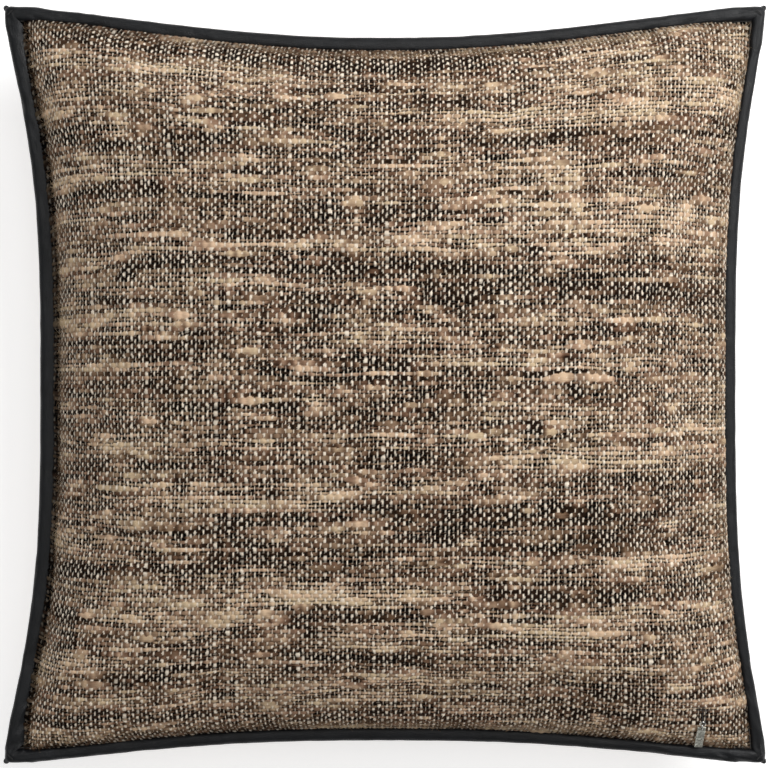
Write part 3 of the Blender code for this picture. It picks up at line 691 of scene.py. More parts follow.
def weave(a, b, rng):
    """For thread places a, counted across the upright threads, and b, counted across the
    crosswise ones: the surface's height, and the tone, the thread on top, the depth (used as
    painted shade) and the hue."""
    cloth = settings("cloth")
    low_a, low_b = math.floor(a.min()) - 3, math.floor(b.min()) - 3
    many_a, many_b = math.ceil(a.max()) - low_a + 4, math.ceil(b.max()) - low_b + 4
    a, b = a - low_a, b - low_b

    def crosswise(long, tall=1):
        """Random numbers laid out along the crosswise yarns."""
        rows = many_b + 2 if tall == 1 else many_b // tall + 4
        return rng.standard_normal((rows, many_a // long + 4))

    def upright(tall):
        return rng.standard_normal((many_b // tall + 4, many_a + 2))

    def dashes():
        """A random number for each place where an upright thread shows."""
        return rng.standard_normal((many_a + 2, many_b + 4))

    bands, streaks = crosswise(BAND_LONG, BAND_TALL), crosswise(STREAK_LONG)
    knots, flecks = crosswise(KNOT_LONG), crosswise(1)
    fat, hues = crosswise(FAT_LONG), crosswise(HUE_LONG)
    drift, leaning = crosswise(DRIFT_LONG, DRIFT_TALL), upright(LEAN_TALL)
    warp_fat, warp_tone = rng.standard_normal(many_a + 2), upright(SHADE_TALL)
    dash_fat, dash_tone, dash_lean, dash_rise = dashes(), dashes(), dashes(), dashes()
    lumps, blots = crosswise(1), crosswise(BLOT_LONG, 2)

    def weft(j):
        """Height of crosswise yarn j, and its row in the tables."""
        row = np.clip(j, 0, many_b)
        knot = sample_row(knots, row, a / KNOT_LONG)
        width = (0.40 + 0.09 * sample_row(fat, row, a / FAT_LONG) + 0.06 * knot
                 + 0.018 * knot**3 + 0.06 * sample_row(lumps, row, a))
        width = np.clip(width, *WEFT_WIDTH)
        wander = 0.19 * sample(drift, b / DRIFT_TALL, a / DRIFT_LONG)
        off = (b - (j + 0.5) + wander) / width
        swing = -np.cos(math.pi * (a - 0.5 + j))
        body = np.sqrt(np.clip(1 - off**2, 0, 1))
        height = cloth.relief * swing + cloth.weft_radius * (0.25 + 1.75 * width) * body
        return np.where(np.abs(off) < 1, height, -1.0), row

    def warp(i):
        """Height of upright thread i, and its column in the tables."""
        column = np.clip(i, 0, many_a)
        width = 0.215 + 0.035 * warp_fat[column] + 0.05 * sample_row(dash_fat, column, b)
        width = np.clip(width, *WARP_WIDTH)
        wander = 0.13 * sample(leaning, b / LEAN_TALL, a) + 0.06 * sample_row(dash_lean, column, b)
        off = (a - (i + 0.5) + wander) / width
        swing = np.cos(math.pi * (b - 0.5 + i))
        body = np.sqrt(np.clip(1 - off**2, 0, 1))
        stand = 1.4 * swing + 0.35 * sample_row(dash_rise, column, b)
        height = cloth.relief * stand + cloth.warp_radius * body
        return np.where(np.abs(off) < 1, height, -1.0), column

    def highest(thread, place):
        """The highest of the three threads near each place, and which one it is."""
        best, which = np.full(a.shape, -1.0), np.zeros(a.shape, int)
        for step in (-1, 0, 1):
            height, number = thread(np.floor(place).astype(int) + step)
            which = np.where(height > best, number, which)
            best = np.maximum(best, height)
        return best, which

    best_weft, row = highest(weft, b)
    best_warp, column = highest(warp, a)
    tone = (0.45 + 0.22 * sample(bands, b / BAND_TALL, a / BAND_LONG)
            + 0.20 * sample_row(streaks, row, a / STREAK_LONG)
            + 0.12 * sample_row(knots, row, a / KNOT_LONG)
            + 0.16 * sample_row(flecks, row, a)
            + 0.05 * sample(blots, b / BLOT_TALL, a / BLOT_LONG) ** 3)
    hue = 0.5 + 0.5 * sample_row(hues, row, a / HUE_LONG)
    on_top = (best_warp > best_weft).astype(float)
    part = np.clip(np.floor(b / SHADE_TALL).astype(int), 0, len(warp_tone) - 1)
    shade = 0.90 + 0.08 * warp_tone[part, column] + 0.20 * sample_row(dash_tone, column, b)
    on_top *= np.clip(shade, 0.30, 1.0)
    floor = -cloth.relief * 1.6
    surface = np.maximum(np.maximum(best_warp, best_weft), floor)
    # Depth is low in the pits between the yarns, where the cloth's material paints shade.
    depth = smooth((surface - floor) / (1.55 * (cloth.relief + cloth.weft_radius)))
    return surface, np.clip(tone, 0, 1), on_top, depth, np.clip(hue, 0, 1)


def past_bottom(x):
    """Below every point of the cloth."""
    return np.full_like(x, -1.0)


def past_top(x):
    """Above every point of the cloth."""
    return np.full_like(x, 1.0)


def panel(samples, height, low_y, high_y, seed):
    """A woven panel's arrays, cut along y where low_y and high_y say."""
    a, b, x, y = lay_cloth(height, samples)
    faces = grid_faces(*x.shape)
    inside = (y >= low_y(x)) & (y <= high_y(x))
    faces = faces[inside.ravel()[faces].any(axis=1)]
    used = np.zeros(x.size, bool)
    used[faces] = True
    faces = (np.cumsum(used) - 1)[faces]
    x, y, a, b = (one.ravel()[used] for one in (x, y, a, b))
    y = np.clip(y, low_y(x), high_y(x))
    return (x, y, height(x, y), *weave(a, b, np.random.default_rng(seed)), faces)


def surface_normals(x, y, z, faces):
    """The surface's points, and the direction square to it at each."""
    points = np.stack([x, y, z], -1)
    corner = points[faces]
    face_normal = np.cross(corner[:, 2] - corner[:, 0], corner[:, 3] - corner[:, 1])
    normal = np.zeros_like(points)
    for k in range(4):
        np.add.at(normal, faces[:, k], face_normal)
    return points, normal / np.maximum(np.linalg.norm(normal, axis=1, keepdims=True), 1e-12)


def woven_piece(name, made, lift, face_up):
    """Turns a panel's arrays into a piece, raised by its threads along the surface's normal."""
    x, y, z, surface, tone, on_top, depth, hue, faces = made
    points, normal = surface_normals(x, y, z, faces)
    if not face_up:
        faces, normal = faces[:, ::-1], -normal
    points = points + normal * (surface + lift)[:, None]
    if not face_up:
        points[:, 2] = np.maximum(points[:, 2], 0.0)
    piece = mesh_object(name, points, faces)
    carry(piece, "weave", np.stack([tone, on_top, depth, hue], -1))
    shape = settings("shape")
    bake_map(piece, 0.5 + 0.49 * x / shape.half_x, 0.5 + 0.49 * y / shape.half_y)
    dress(piece, "slub_cloth")
    return piece


def swell(t, peak):
    """Rises from 0, is 1 at peak and dies away."""
    t = np.maximum(t, 0) / peak
    return t * np.exp(1 - t)


PUCKERS = ((60, 0.014, 1.0), (30, 0.034, 1.5))  # how many, how far apart and how strong
PUCKER_INSET = 0.007
PUCKER_RISE = 0.00045


def seam_puckers(x, y, seed):
    """Shallow gathers square to the seam, which die away over the cloth."""
    rng = np.random.default_rng(seed)
    inset_x, inset_y = insets(x, y)
    total = 0.0
    for inset, run, side in ((inset_x, y, x > 0), (inset_y, x, y > 0)):
        wide = 0.0
        for many, apart, strength in PUCKERS:
            table = rng.standard_normal((2, many))
            wide = wide + strength * sample_row(table, side.astype(int), (run + 0.3) / apart)
        total = total + wide * swell(inset, PUCKER_INSET) * PUCKER_RISE
    return total


BULGE = 0.0045  # inside the seam, where the cloth stands furthest over the piping
CORNER_BULGE = 0.0008
CORNER_PULL = -0.0026  # at the left corners, where it draws back instead
CORNER_FADE = (0.45, 0.52)  # shares of a half side, where a side's bulge gives way to these
TUCK = 0.0028  # how far the cloth dips beside the piping
TUCK_OUT = 0.0014
TUCK_REACH, TUCK_REACH_LEFT = 0.0045, 0.0055
GROOVE_SHADE, GROOVE_SHADE_LEFT = 0.35, 0.75  # painted shade: how much the cloth's colour darkens in the groove beside the piping
GROOVE_FADE_X, GROOVE_FADE_Y = (0.0016, 0.0028), (0.0015, 0.0030)
FACE_LIFT, BACK_LIFT = -0.0004, -0.0006  # sinks the threads into the surface they lie on
SEAT_FADE = (0.0085, 0.0075)  # the pressed patch under the charm: its reach, and its slope
SEAT_STRETCH = 1.6  # scales both
SEAT_UP = 0.001  # from the tag's middle to the patch's
SEAT_SINK = 0.0010
SEAT_THREAD, SEAT_SPARE = 0.0009, 0.0010  # most that its threads stand up, and more at its rim


def tucked(x, y, inset_x, inset_y):
    """(x, y) with the cloth's last few millimetres drawn out into the seam, under the piping."""
    return (x + np.sign(x) * TUCK_OUT * fade(inset_x, 0.0, 0.003),
            y + np.sign(y) * TUCK_OUT * fade(inset_y, 0.0, 0.003))


def charm_seat(x, y):
    """1 under the charm, where the cloth is pressed down a little, and 0 away from it."""
    low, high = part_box("charm_tag")
    middle = (low + high) / 2
    away = np.hypot((x - middle.x) / SEAT_STRETCH, (y - middle.y - SEAT_UP) / SEAT_STRETCH)
    return fade(away, *SEAT_FADE)


class PILLOW_OT_face(bpy.types.Operator):
    """The woven face, filled out and bulging over the piping"""

    bl_idname = "pillow.face"
    bl_label = "Face"

    def execute(self, context):
        shape, cloth = settings("shape"), settings("cloth")
        moved = puff()
        made = panel(cloth.face_samples, front_height, past_bottom, past_top, cloth.seed)
        x, y, z = made[:3]
        shift = sample(moved, *pad_place(x, y))
        inset_x, inset_y = insets(x, y)
        reach_x = np.where(x > 0, shape.overhang_right, shape.overhang_left)
        reach_y = np.where(y > 0, shape.overhang_top, shape.overhang_bottom)
        run_x = fade(y, *(shape.half_y * part for part in CORNER_FADE))
        run_y = fade(x, *(shape.half_x * part for part in CORNER_FADE))
        corner_x = np.where(x > 0, 0.0, CORNER_PULL)
        reach_x = corner_x + (reach_x - corner_x) * run_x
        reach_y = CORNER_BULGE + (reach_y - CORNER_BULGE) * run_y
        free = 1 - charm_seat(x, y)
        shift = shift * free[:, None]
        z = z + shift[:, 2] + seam_puckers(x, y, cloth.seed + 1) * free
        x = x + shift[:, 0] + np.sign(x) * reach_x * swell(inset_x, BULGE) * free
        y = y + shift[:, 1] + np.sign(y) * reach_y * swell(inset_y, BULGE) * free
        x, y = tucked(x, y, inset_x, inset_y)
        width = np.where(x > 0, TUCK_REACH, TUCK_REACH_LEFT)
        sunk = np.maximum(fade(inset_x, 0.0, width), fade(inset_y, 0.0, TUCK_REACH))
        z -= SEAT_SINK * (1 - free) + TUCK * sunk
        surface, tone, on_top, depth, hue, faces = made[3:]
        # Painted shade: darkens the cloth's colour in the groove beside the piping, most on the
        # left.
        painted_groove_shade = np.where(x > 0, GROOVE_SHADE, GROOVE_SHADE_LEFT)
        depth = depth * (1 - painted_groove_shade * fade(inset_x, *GROOVE_FADE_X))
        depth = depth * (1 - GROOVE_SHADE * fade(inset_y, *GROOVE_FADE_Y))
        pressed = np.minimum(surface, SEAT_THREAD + SEAT_SPARE * free)
        surface = np.where(free < 1, pressed, surface)
        made = (x, y, z, surface, tone, on_top, depth, hue, faces)
        piece = woven_piece("cloth_face", made, FACE_LIFT, True)
        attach(piece, COVER)
        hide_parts("front_panel")
        return {"FINISHED"}


SLIT_SPARE = 0.016  # how far the slit runs past the coils
SLIT_SEWN = 0.00015  # half the gap where the two back pieces are sewn together
REST_FADE = 0.010  # above the floor, where the back's gathers reach their full height


class PILLOW_OT_back(bpy.types.Operator):
    """The two woven pieces of the back, on either side of the zip"""

    bl_idname = "pillow.back"
    bl_label = "Back"

    def execute(self, context):
        cloth, line = settings("cloth"), settings("zip")

        def slit(x):
            return np.where(np.abs(x) < line.half + SLIT_SPARE, line.slit / 2, SLIT_SEWN)

        parts = (
            ("cloth_back", "back_panel", lambda x: line.line_y + slit(x), past_top, 0.7),
            ("cloth_back_strip", "back_zip_strip", past_bottom,
             lambda x: line.line_y - slit(x), 0.5),
        )
        for name, node, low, high, fill in parts:
            made = panel(cloth.back_samples, back_height, low, high, cloth.seed + 5)
            x, y, z = made[:3]
            loose = np.minimum(1, z / REST_FADE) * (1 - zip_band(x, y))
            z = z - seam_puckers(x, y, cloth.seed + 6) * loose
            x, y = tucked(x, y, *insets(x, y))
            piece = woven_piece(name, (x, y, z, *made[3:]), BACK_LIFT, False)
            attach(piece, COVER)
            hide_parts(node)
        return {"FINISHED"}


# ------------------------------------------------------------------ loose fibres


FIBRE_RINGS = 5
FIBRE_LEFT_SHIFT = 0.0022  # keeps the groove by the left piping clear
FIBRE_CLEAR = 0.2  # the charm's seat is kept clear where it is stronger than this
FACE_FIBRES_FROM = 0.006
EDGE_FIBRES_FROM, EDGE_FIBRES_TO = 0.0015, 0.0080


def fibre_mesh(name, roots, headings, normals, lengths, radius, tones, rng):
    """Thin curved three-sided hairs in one mesh."""
    count, rings = len(roots), FIBRE_RINGS
    side = np.cross(headings, normals)
    side /= np.linalg.norm(side, axis=1, keepdims=True)
    curl, lift = rng.normal(0, 0.5, count), rng.uniform(0.1, 0.9, count)
    points = []
    for k in range(rings):
        t = k / (rings - 1)
        centre = (roots + headings * (lengths * t)[:, None]
                  + side * (lengths * curl * t * t)[:, None]
                  + normals * (lengths * lift * (t - 0.8 * t * t))[:, None])
        for j in range(3):
            turn = 2 * math.pi * j / 3
            away = side * math.cos(turn) + normals * math.sin(turn)
            points.append(centre + away * (radius * (1 - 0.6 * t))[:, None])
    points = np.stack(points, 1).reshape(count, rings, 3, 3)
    base = np.arange(count)[:, None, None] * rings * 3
    faces = grid_faces(rings, 3, looped=True)[None] + base
    piece = mesh_object(name, points.reshape(-1, 3), faces.reshape(-1, 4))
    tone = np.repeat(tones, rings * 3)
    carry(piece, "weave", np.stack([tone, tone * 0, tone * 0 + 1, tone * 0 + 1], -1))
    return piece


class PILLOW_OT_fuzz(bpy.types.Operator):
    """Loose fibres on the face, and yarn ends that reach over the piping"""

    bl_idname = "pillow.fuzz"
    bl_label = "Loose fibres"

    def execute(self, context):
        cloth = settings("cloth")
        rng = np.random.default_rng(cloth.seed + 20)
        face = bpy.data.objects["cloth_face"].data
        points = per_point(face.vertices, "co", 3)
        normals = per_point(face.vertices, "normal", 3)
        weave_tone = per_point(face.attributes["weave"].data, "color", 4)[:, 0]
        x, y = points[:, 0], points[:, 1]
        inset_x, inset_y = insets(x, y)
        inset = np.minimum(inset_x - np.where(x > 0, 0.0, FIBRE_LEFT_SHIFT), inset_y)
        inside = (inset > FACE_FIBRES_FROM) & (charm_seat(x, y) < FIBRE_CLEAR)
        beside = (inset > EDGE_FIBRES_FROM) & (inset < EDGE_FIBRES_TO)
        groups = (
            ("face_fuzz", cloth.fibres, np.flatnonzero(inside), (0.0015, 0.0055), 0.00006),
            ("edge_fuzz", cloth.edge_fibres, np.flatnonzero(beside), (0.0014, 0.0040), 0.00012),
        )
        for name, count, where, lengths, radius in groups:
            root = rng.choice(where, count)
            normal = normals[root]
            heading = rng.standard_normal((count, 3)) * 0.7
            if name == "edge_fuzz":
                heading += np.stack([x[root] / 0.25, y[root] / 0.25, np.zeros(count)], 1) * 0.9
            heading -= normal * (heading * normal).sum(axis=1, keepdims=True) * 0.8
            heading /= np.linalg.norm(heading, axis=1, keepdims=True)
            piece = fibre_mesh(
                name, points[root], heading, normal, rng.uniform(*lengths, count),
                rng.uniform(0.7, 1.3, count) * radius,
                np.clip(0.5 * weave_tone[root] + rng.normal(0.34, 0.12, count), 0, 1), rng)
            dress(piece, "fuzz_yarn")
            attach(piece, COVER)
        return {"FINISHED"}


# ------------------------------------------------------------------ piping


SIDES = ("top", "right", "bottom", "left")
CORNERS = {"top_left": (-1, 1), "top_right": (1, 1), "bottom_left": (-1, -1),
           "bottom_right": (1, -1)}
PIPE_OUT = 0.0055  # the seam to the middle of the piping
PIPE_RADIUS = 0.0050
PIPE_SQUARE = 2.7  # 2 would make the piping round, and more makes it squarer
PIPE_LIP = {"top": 0.0009, "right": 0.0, "bottom": 0.0, "left": 0.0036}  # reach over the cloth
PIPE_LIP_LEFT_CORNERS = 0.0012
PIPE_CREASES = ((90, 10, 0.0075, 0.7, 1.0), (40, 8, 0.017, 0.9, 1.6))
PIPE_NEAR = 0.050  # how far from a corner the creases deepen
PIPE_PLUMP = (0.12, 0.018, 0.014)  # how much plumper beside a corner, where, and how far
PIPE_PINCH = (0.20, 0.0035)  # how much thinner at a corner, and how far
DENT, DENT_NEAR = 0.00009, 0.00032  # depth of a crease anywhere, and what a corner adds
DENT_CLEAR = 0.006  # the creases fade this close to a corner
PIPE_STATIONS = 420
PIPE_RING = 28
EAR_LONG, EAR_WIDE = 0.0024, 0.0019  # half sizes
EAR_FOLDS, EAR_FOLD = 5, 0.10
EAR_PLACE = 0.68  # share of the piping's radius, out from its middle


def side_point(side, t, out):
    """Places beside the seam: t from -1 to 1 clockwise along a side, 'out' outside the seam."""
    shape = settings("shape")
    half_x, half_y = shape.half_x + out, shape.half_y + out
    if side == "top":
        return t * half_x, edge_y(t * half_x, True, out)
    if side == "right":
        return edge_x(-t * half_y, True, out), -t * half_y
    if side == "bottom":
        return -t * half_x, -edge_y(-t * half_x, False, out)
    return -edge_x(t * half_y, False, out), t * half_y


class PILLOW_OT_piping(bpy.types.Operator):
    """Leather piping on each side, mitred and pinched into a small ear at each corner"""

    bl_idname = "pillow.piping"
    bl_label = "Piping"

    def execute(self, context):
        shape = settings("shape")
        rng = np.random.default_rng(31)
        t = np.linspace(-1, 1, PIPE_STATIONS)
        t = np.sin(t * math.pi / 2) * 0.35 + t * 0.65
        turn = np.linspace(0, 2 * math.pi, PIPE_RING, endpoint=False)
        for side in SIDES:
            half = shape.half_x if side in ("top", "bottom") else shape.half_y
            tt, angle = np.meshgrid(t, turn, indexing="ij")
            from_corner = (1 - np.abs(tt)) * half
            run = (tt + 1) * half
            creases = 0.0
            for many, around, apart, wide, strength in PIPE_CREASES:
                table = rng.standard_normal((many, around))
                creases = creases + strength * sample(table, run / apart, angle / wide)
            near = np.exp(-from_corner / PIPE_NEAR)
            dents = -np.abs(creases) * (DENT + DENT_NEAR * near) * smooth(from_corner / DENT_CLEAR)
            plumper, place, wide = PIPE_PLUMP
            full = 1 + plumper * np.exp(-(((from_corner - place) / wide) ** 2))
            thinner, wide = PIPE_PINCH
            full -= thinner * np.exp(-((from_corner / wide) ** 2))
            outer = np.clip(np.cos(angle), 0, 1)
            plump = (np.abs(np.cos(angle)) ** PIPE_SQUARE
                     + np.abs(np.sin(angle)) ** PIPE_SQUARE) ** (-1 / PIPE_SQUARE)
            radius = PIPE_RADIUS * plump * (1 + (full - 1) * (0.35 + 0.65 * outer)) + dents
            lip = PIPE_LIP[side] + PIPE_LIP_LEFT_CORNERS * near * (side == "left")
            out = PIPE_OUT + radius * np.cos(angle) - lip * np.clip(-np.cos(angle), 0, 1)
            x, y = side_point(side, tt, out)
            z = shape.seam + 0.96 * radius * np.sin(angle)
            rings = np.stack([x, y, z], -1)
            ends = [rings[0].mean(axis=0), rings[-1].mean(axis=0)]
            points = np.concatenate([rings.reshape(-1, 3), ends])
            faces = grid_faces(PIPE_STATIONS, PIPE_RING, looped=True)
            ring = np.arange(PIPE_RING)
            after = (ring + 1) % PIPE_RING
            last = (PIPE_STATIONS - 1) * PIPE_RING
            low, high = len(points) - 2, len(points) - 1
            caps = np.concatenate([
                np.stack([np.full(PIPE_RING, low), after, ring], 1),
                np.stack([np.full(PIPE_RING, high), last + ring, last + after], 1),
            ])
            piece = mesh_object(f"leather_{side}", points, faces)
            close_ends(piece, caps)
            dress(piece, "black_leather")
            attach(piece, COVER)
            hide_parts(f"piping_leather_{side}")
        for name, signs in CORNERS.items():
            self.ear(name, *signs)
        dress_frame({"black_thread": [f"mitre_stitch_{name}" for name in CORNERS]})
        return {"FINISHED"}

    def ear(self, name, sign_x, sign_y):
        """The pinched tip of the leather at a corner, with folds that run into it."""
        shape = settings("shape")
        rows, columns = 22, PIPE_RING
        up, round_ = np.meshgrid(np.linspace(0, math.pi, rows),
                                 np.linspace(0, 2 * math.pi, columns, endpoint=False),
                                 indexing="ij")
        fold = 1 + EAR_FOLD * np.cos(EAR_FOLDS * round_ + sign_x) * np.sin(up) ** 2
        long = EAR_LONG * np.cos(up)
        wide = EAR_WIDE * np.sin(up) * fold
        place = np.stack([long, wide * np.cos(round_), 1.25 * wide * np.sin(round_)], -1)
        heading = Vector((sign_x, sign_y, 0)).normalized()
        turn = heading.to_track_quat("X", "Z").to_matrix()
        tip = PIPE_OUT + PIPE_RADIUS * EAR_PLACE
        middle = Vector((sign_x * (shape.half_x + tip), sign_y * (shape.half_y + tip),
                         shape.seam))
        points = place.reshape(-1, 3) @ np.array(turn).T + np.array(middle)
        piece = mesh_object(f"leather_ear_{name}", points,
                            grid_faces(rows, columns, looped=True))
        weld(piece)
        dress(piece, "black_leather")
        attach(piece, COVER)


def weld(piece):
    """Merges points that lie together, as at the poles of a turned shape."""
    work = bmesh.new()
    work.from_mesh(piece.data)
    bmesh.ops.remove_doubles(work, verts=work.verts, dist=1e-7)
    bmesh.ops.recalc_face_normals(work, faces=work.faces)
    work.to_mesh(piece.data)
    work.free()
    piece.data.shade_smooth()


def close_ends(piece, caps):
    """Adds three-cornered end faces."""
    work = bmesh.new()
    work.from_mesh(piece.data)
    work.verts.ensure_lookup_table()
    for corners in caps:
        work.faces.new([work.verts[int(k)] for k in corners])
    bmesh.ops.recalc_face_normals(work, faces=work.faces)
    work.to_mesh(piece.data)
    work.free()
    piece.data.shade_smooth()
    piece.data.set_sharp_from_angle(angle=math.radians(60))


# ------------------------------------------------------------------ charm


def tube(name, path, radius, sides=10, looped=True, strands=0, twist=0.0):
    """A round wire along a path of points. With strands, it is grooved like a twisted thread."""
    path = np.asarray(path, float)
    if looped:
        ahead = np.roll(path, -1, 0) - np.roll(path, 1, 0)
    else:
        ahead = np.gradient(path, axis=0)
    ahead /= np.linalg.norm(ahead, axis=1, keepdims=True)
    side = np.cross(ahead, np.array([0.31, 0.47, 0.83]))
    side /= np.linalg.norm(side, axis=1, keepdims=True)
    above = np.cross(side, ahead)
    turn = np.linspace(0, 2 * math.pi, sides, endpoint=False)
    lay = np.linspace(0, twist * 2 * math.pi, len(path), endpoint=not looped)
    groove = np.ones((len(path), sides))
    if strands:
        groove += 0.22 * np.abs(np.cos(strands / 2 * (turn[None] + lay[:, None])))
    size = np.broadcast_to(np.asarray(radius, float), (len(path),))[:, None] * groove
    points = (path[:, None] + side[:, None] * (size * np.cos(turn))[..., None]
              + above[:, None] * (size * np.sin(turn))[..., None])
    rows = len(path)
    faces = grid_faces(rows, sides, looped=True)
    if looped:
        k = np.arange(sides)
        after = (k + 1) % sides
        last = (rows - 1) * sides
        faces = np.concatenate([faces, np.stack([last + k, last + after, after, k], 1)])
    piece = mesh_object(name, points.reshape(-1, 3), faces)
    if not looped:
        cap = [np.stack([np.zeros(sides - 2), np.arange(2, sides), np.arange(1, sides - 1)], 1)]
        cap.append(cap[0][:, ::-1] + (rows - 1) * sides)
        close_ends(piece, np.concatenate(cap).astype(int))
    else:
        weld(piece)
    return piece


def charm_axes():
    """The charm's own axes: down along it, across it and out of the cloth."""
    joints = {one["name"]: one for one in frame["joints"]}
    out = Vector(joints["charm_link_swing"]["axis"]).normalized()
    across = -Vector(joints["charm_link_lift"]["axis"]).normalized()
    down = across.cross(out)
    places = {name: Vector(joints[name]["pos_m"])
              for name in ("charm_link_swing", "charm_link_lift", "charm_tag_swing")}
    return down, across, out, places


THREAD_WIRE = 0.00021
THREAD_ENDS = 6
THREAD_REACH = (0.004, 0.010)
THREAD_TAPER = (0.00020, 0.00009)
THREAD_DROOP = 0.0014
LINK_RADIUS, LINK_WIRE = 0.0018, 0.00034
TAG_LONG, TAG_WIDE, TAG_PLATE = 0.0195, 0.0054, 0.00092
TAG_ABOVE = 0.0015  # from the tag's top to the middle of its hole
TAG_BORE = 0.00085
TAG_NECK = 0.0016  # from the hole to the raised border's upper side
TAG_BORDER = (0.00035, 0.0003)  # how wide the raised border is, and its slope
TAG_DIMPLE = 0.00005
TAG_ROLL = (0.00030, 0.0012, 0.00045)  # rise, place and width of the rolled top
TAG_ROUND = 0.0004  # how far in the edges are rounded


class PILLOW_OT_charm(bpy.types.Operator):
    """The thread loop, the two links and the blank metal tag"""

    bl_idname = "pillow.charm"
    bl_label = "Charm"

    def execute(self, context):
        down, across, out, places = charm_axes()
        down_a, across_a, out_a = (np.array(one) for one in (down, across, out))
        turn = np.linspace(0, 2 * math.pi, 72, endpoint=False)

        def ring(centre, first, second, radius):
            return (np.array(centre) + np.outer(np.cos(turn) * radius, first)
                    + np.outer(np.sin(turn) * radius, second))

        low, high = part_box("charm_thread_loop")
        middle = (low + high) / 2
        reach = (high.z - low.z) / 2 - 0.0002
        loop = tube("charm_loop_thread", ring(middle, down_a, out_a, reach),
                    THREAD_WIRE, 12, True, 4, 9)
        self.place(loop, "black_thread", COVER, "charm_thread_loop")
        rng = np.random.default_rng(8)
        foot = np.array(middle) - out_a * reach * 0.80
        for k in range(THREAD_ENDS):
            way = (down_a * rng.uniform(-1.2, 0.2) + across_a * rng.choice([-1, 1])
                   + out_a * rng.uniform(-0.1, 0.35))
            way /= np.linalg.norm(way)
            s = np.linspace(0, 1, 9)[:, None]
            path = (foot + way * s * rng.uniform(*THREAD_REACH) - out_a * (s**2) * THREAD_DROOP
                    + across_a * np.sin(s * 3 + k) * 0.0006)
            end = tube(f"charm_thread_end_{k}", path, np.linspace(*THREAD_TAPER, 9), 8, False)
            self.place(end, "black_thread", COVER)

        first = places["charm_link_swing"] + down * LINK_RADIUS
        link = tube("charm_ring_upper", ring(first, down_a, across_a, LINK_RADIUS),
                    LINK_WIRE, 14)
        self.place(link, "link_metal", "charm_link_upper", "charm_link_upper", "charm_metal")
        second = places["charm_tag_swing"] - down * LINK_RADIUS
        link = tube("charm_ring_lower", ring(second, down_a, out_a, LINK_RADIUS), LINK_WIRE, 14)
        self.place(link, "link_metal", "charm_link_lower", "charm_link_lower", "charm_metal")
        self.tag(places["charm_tag_swing"], down, across, out)
        return {"FINISHED"}

    def place(self, piece, material, body, node=None, slot=None):
        """Gives a piece its material and the body that it moves with, and hides the frame's node
        that it stands for."""
        dress(piece, material)
        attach(piece, body)
        if node:
            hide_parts(node)

    def tag(self, hole, down, across, out):
        """A stamped bar: a rolled top, a raised border and a lightly hammered, blank middle."""
        rows, columns = 120, 44
        s, w = np.meshgrid(np.linspace(-TAG_ABOVE, TAG_LONG - TAG_ABOVE, rows),
                           np.linspace(-TAG_WIDE / 2, TAG_WIDE / 2, columns), indexing="ij")
        rng = np.random.default_rng(5)
        dimple = sample(rng.standard_normal((40, 14)), (s + 0.002) / 0.0011, (w + 0.003) / 0.0009)
        from_side = TAG_WIDE / 2 - np.abs(w)
        from_end = np.minimum(s + TAG_ABOVE, TAG_LONG - TAG_ABOVE - s)
        from_edge = np.minimum(from_side, from_end)
        border = fade(from_edge, *TAG_BORDER)
        below_top = smooth((s - TAG_NECK) / 0.0004)
        rise = TAG_PLATE / 2 * (0.62 + 0.38 * np.maximum(border, 1 - below_top))
        rise += TAG_DIMPLE * dimple * below_top * (1 - border)
        rolled, place, wide = TAG_ROLL
        rise += rolled * np.exp(-(((s - place) / wide) ** 2))
        slope = 1 - np.clip(from_edge / TAG_ROUND, 0, 1)
        full = 0.35 + 0.65 * np.sqrt(np.clip(1 - slope**2, 0, 1))
        rise *= full
        middle = np.array(hole) + s[..., None] * np.array(down) + w[..., None] * np.array(across)
        up = middle + rise[..., None] * np.array(out)
        foot = middle - (TAG_PLATE / 2 * full)[..., None] * np.array(out)
        work = bmesh.new()
        tops = [[work.verts.new(p) for p in row] for row in up]
        feet = [[work.verts.new(p) for p in row] for row in foot]
        gone = (s**2 + w**2) < TAG_BORE**2
        for r in range(rows - 1):
            for c in range(columns - 1):
                if gone[r:r + 2, c:c + 2].any():
                    continue
                work.faces.new((tops[r][c], tops[r + 1][c], tops[r + 1][c + 1], tops[r][c + 1]))
                work.faces.new((feet[r][c], feet[r][c + 1], feet[r + 1][c + 1], feet[r + 1][c]))
        pair = {top: low for above, below in zip(tops, feet) for top, low in zip(above, below)}
        rim = [edge for edge in work.edges if edge.is_boundary and edge.verts[0] in pair]
        for edge in rim:
            one, two = edge.verts
            work.faces.new((one, two, pair[two], pair[one]))
        loose = [vert for vert in work.verts if not vert.link_faces]
        bmesh.ops.delete(work, geom=loose, context="VERTS")
        bmesh.ops.recalc_face_normals(work, faces=work.faces)
        mesh = bpy.data.meshes.new("charm_bar")
        work.to_mesh(mesh)
        work.free()
        mesh.shade_smooth()
        mesh.set_sharp_from_angle(angle=math.radians(50))
        piece = bpy.data.objects.new("charm_bar", mesh)
        bpy.context.scene.collection.objects.link(piece)
        self.place(piece, "charm_metal", "charm_tag", "charm_tag")


# ------------------------------------------------------------------ zip and inside


COIL_PITCH, COIL_RADIUS, COIL_WIRE = 0.0016, 0.00060, 0.00019


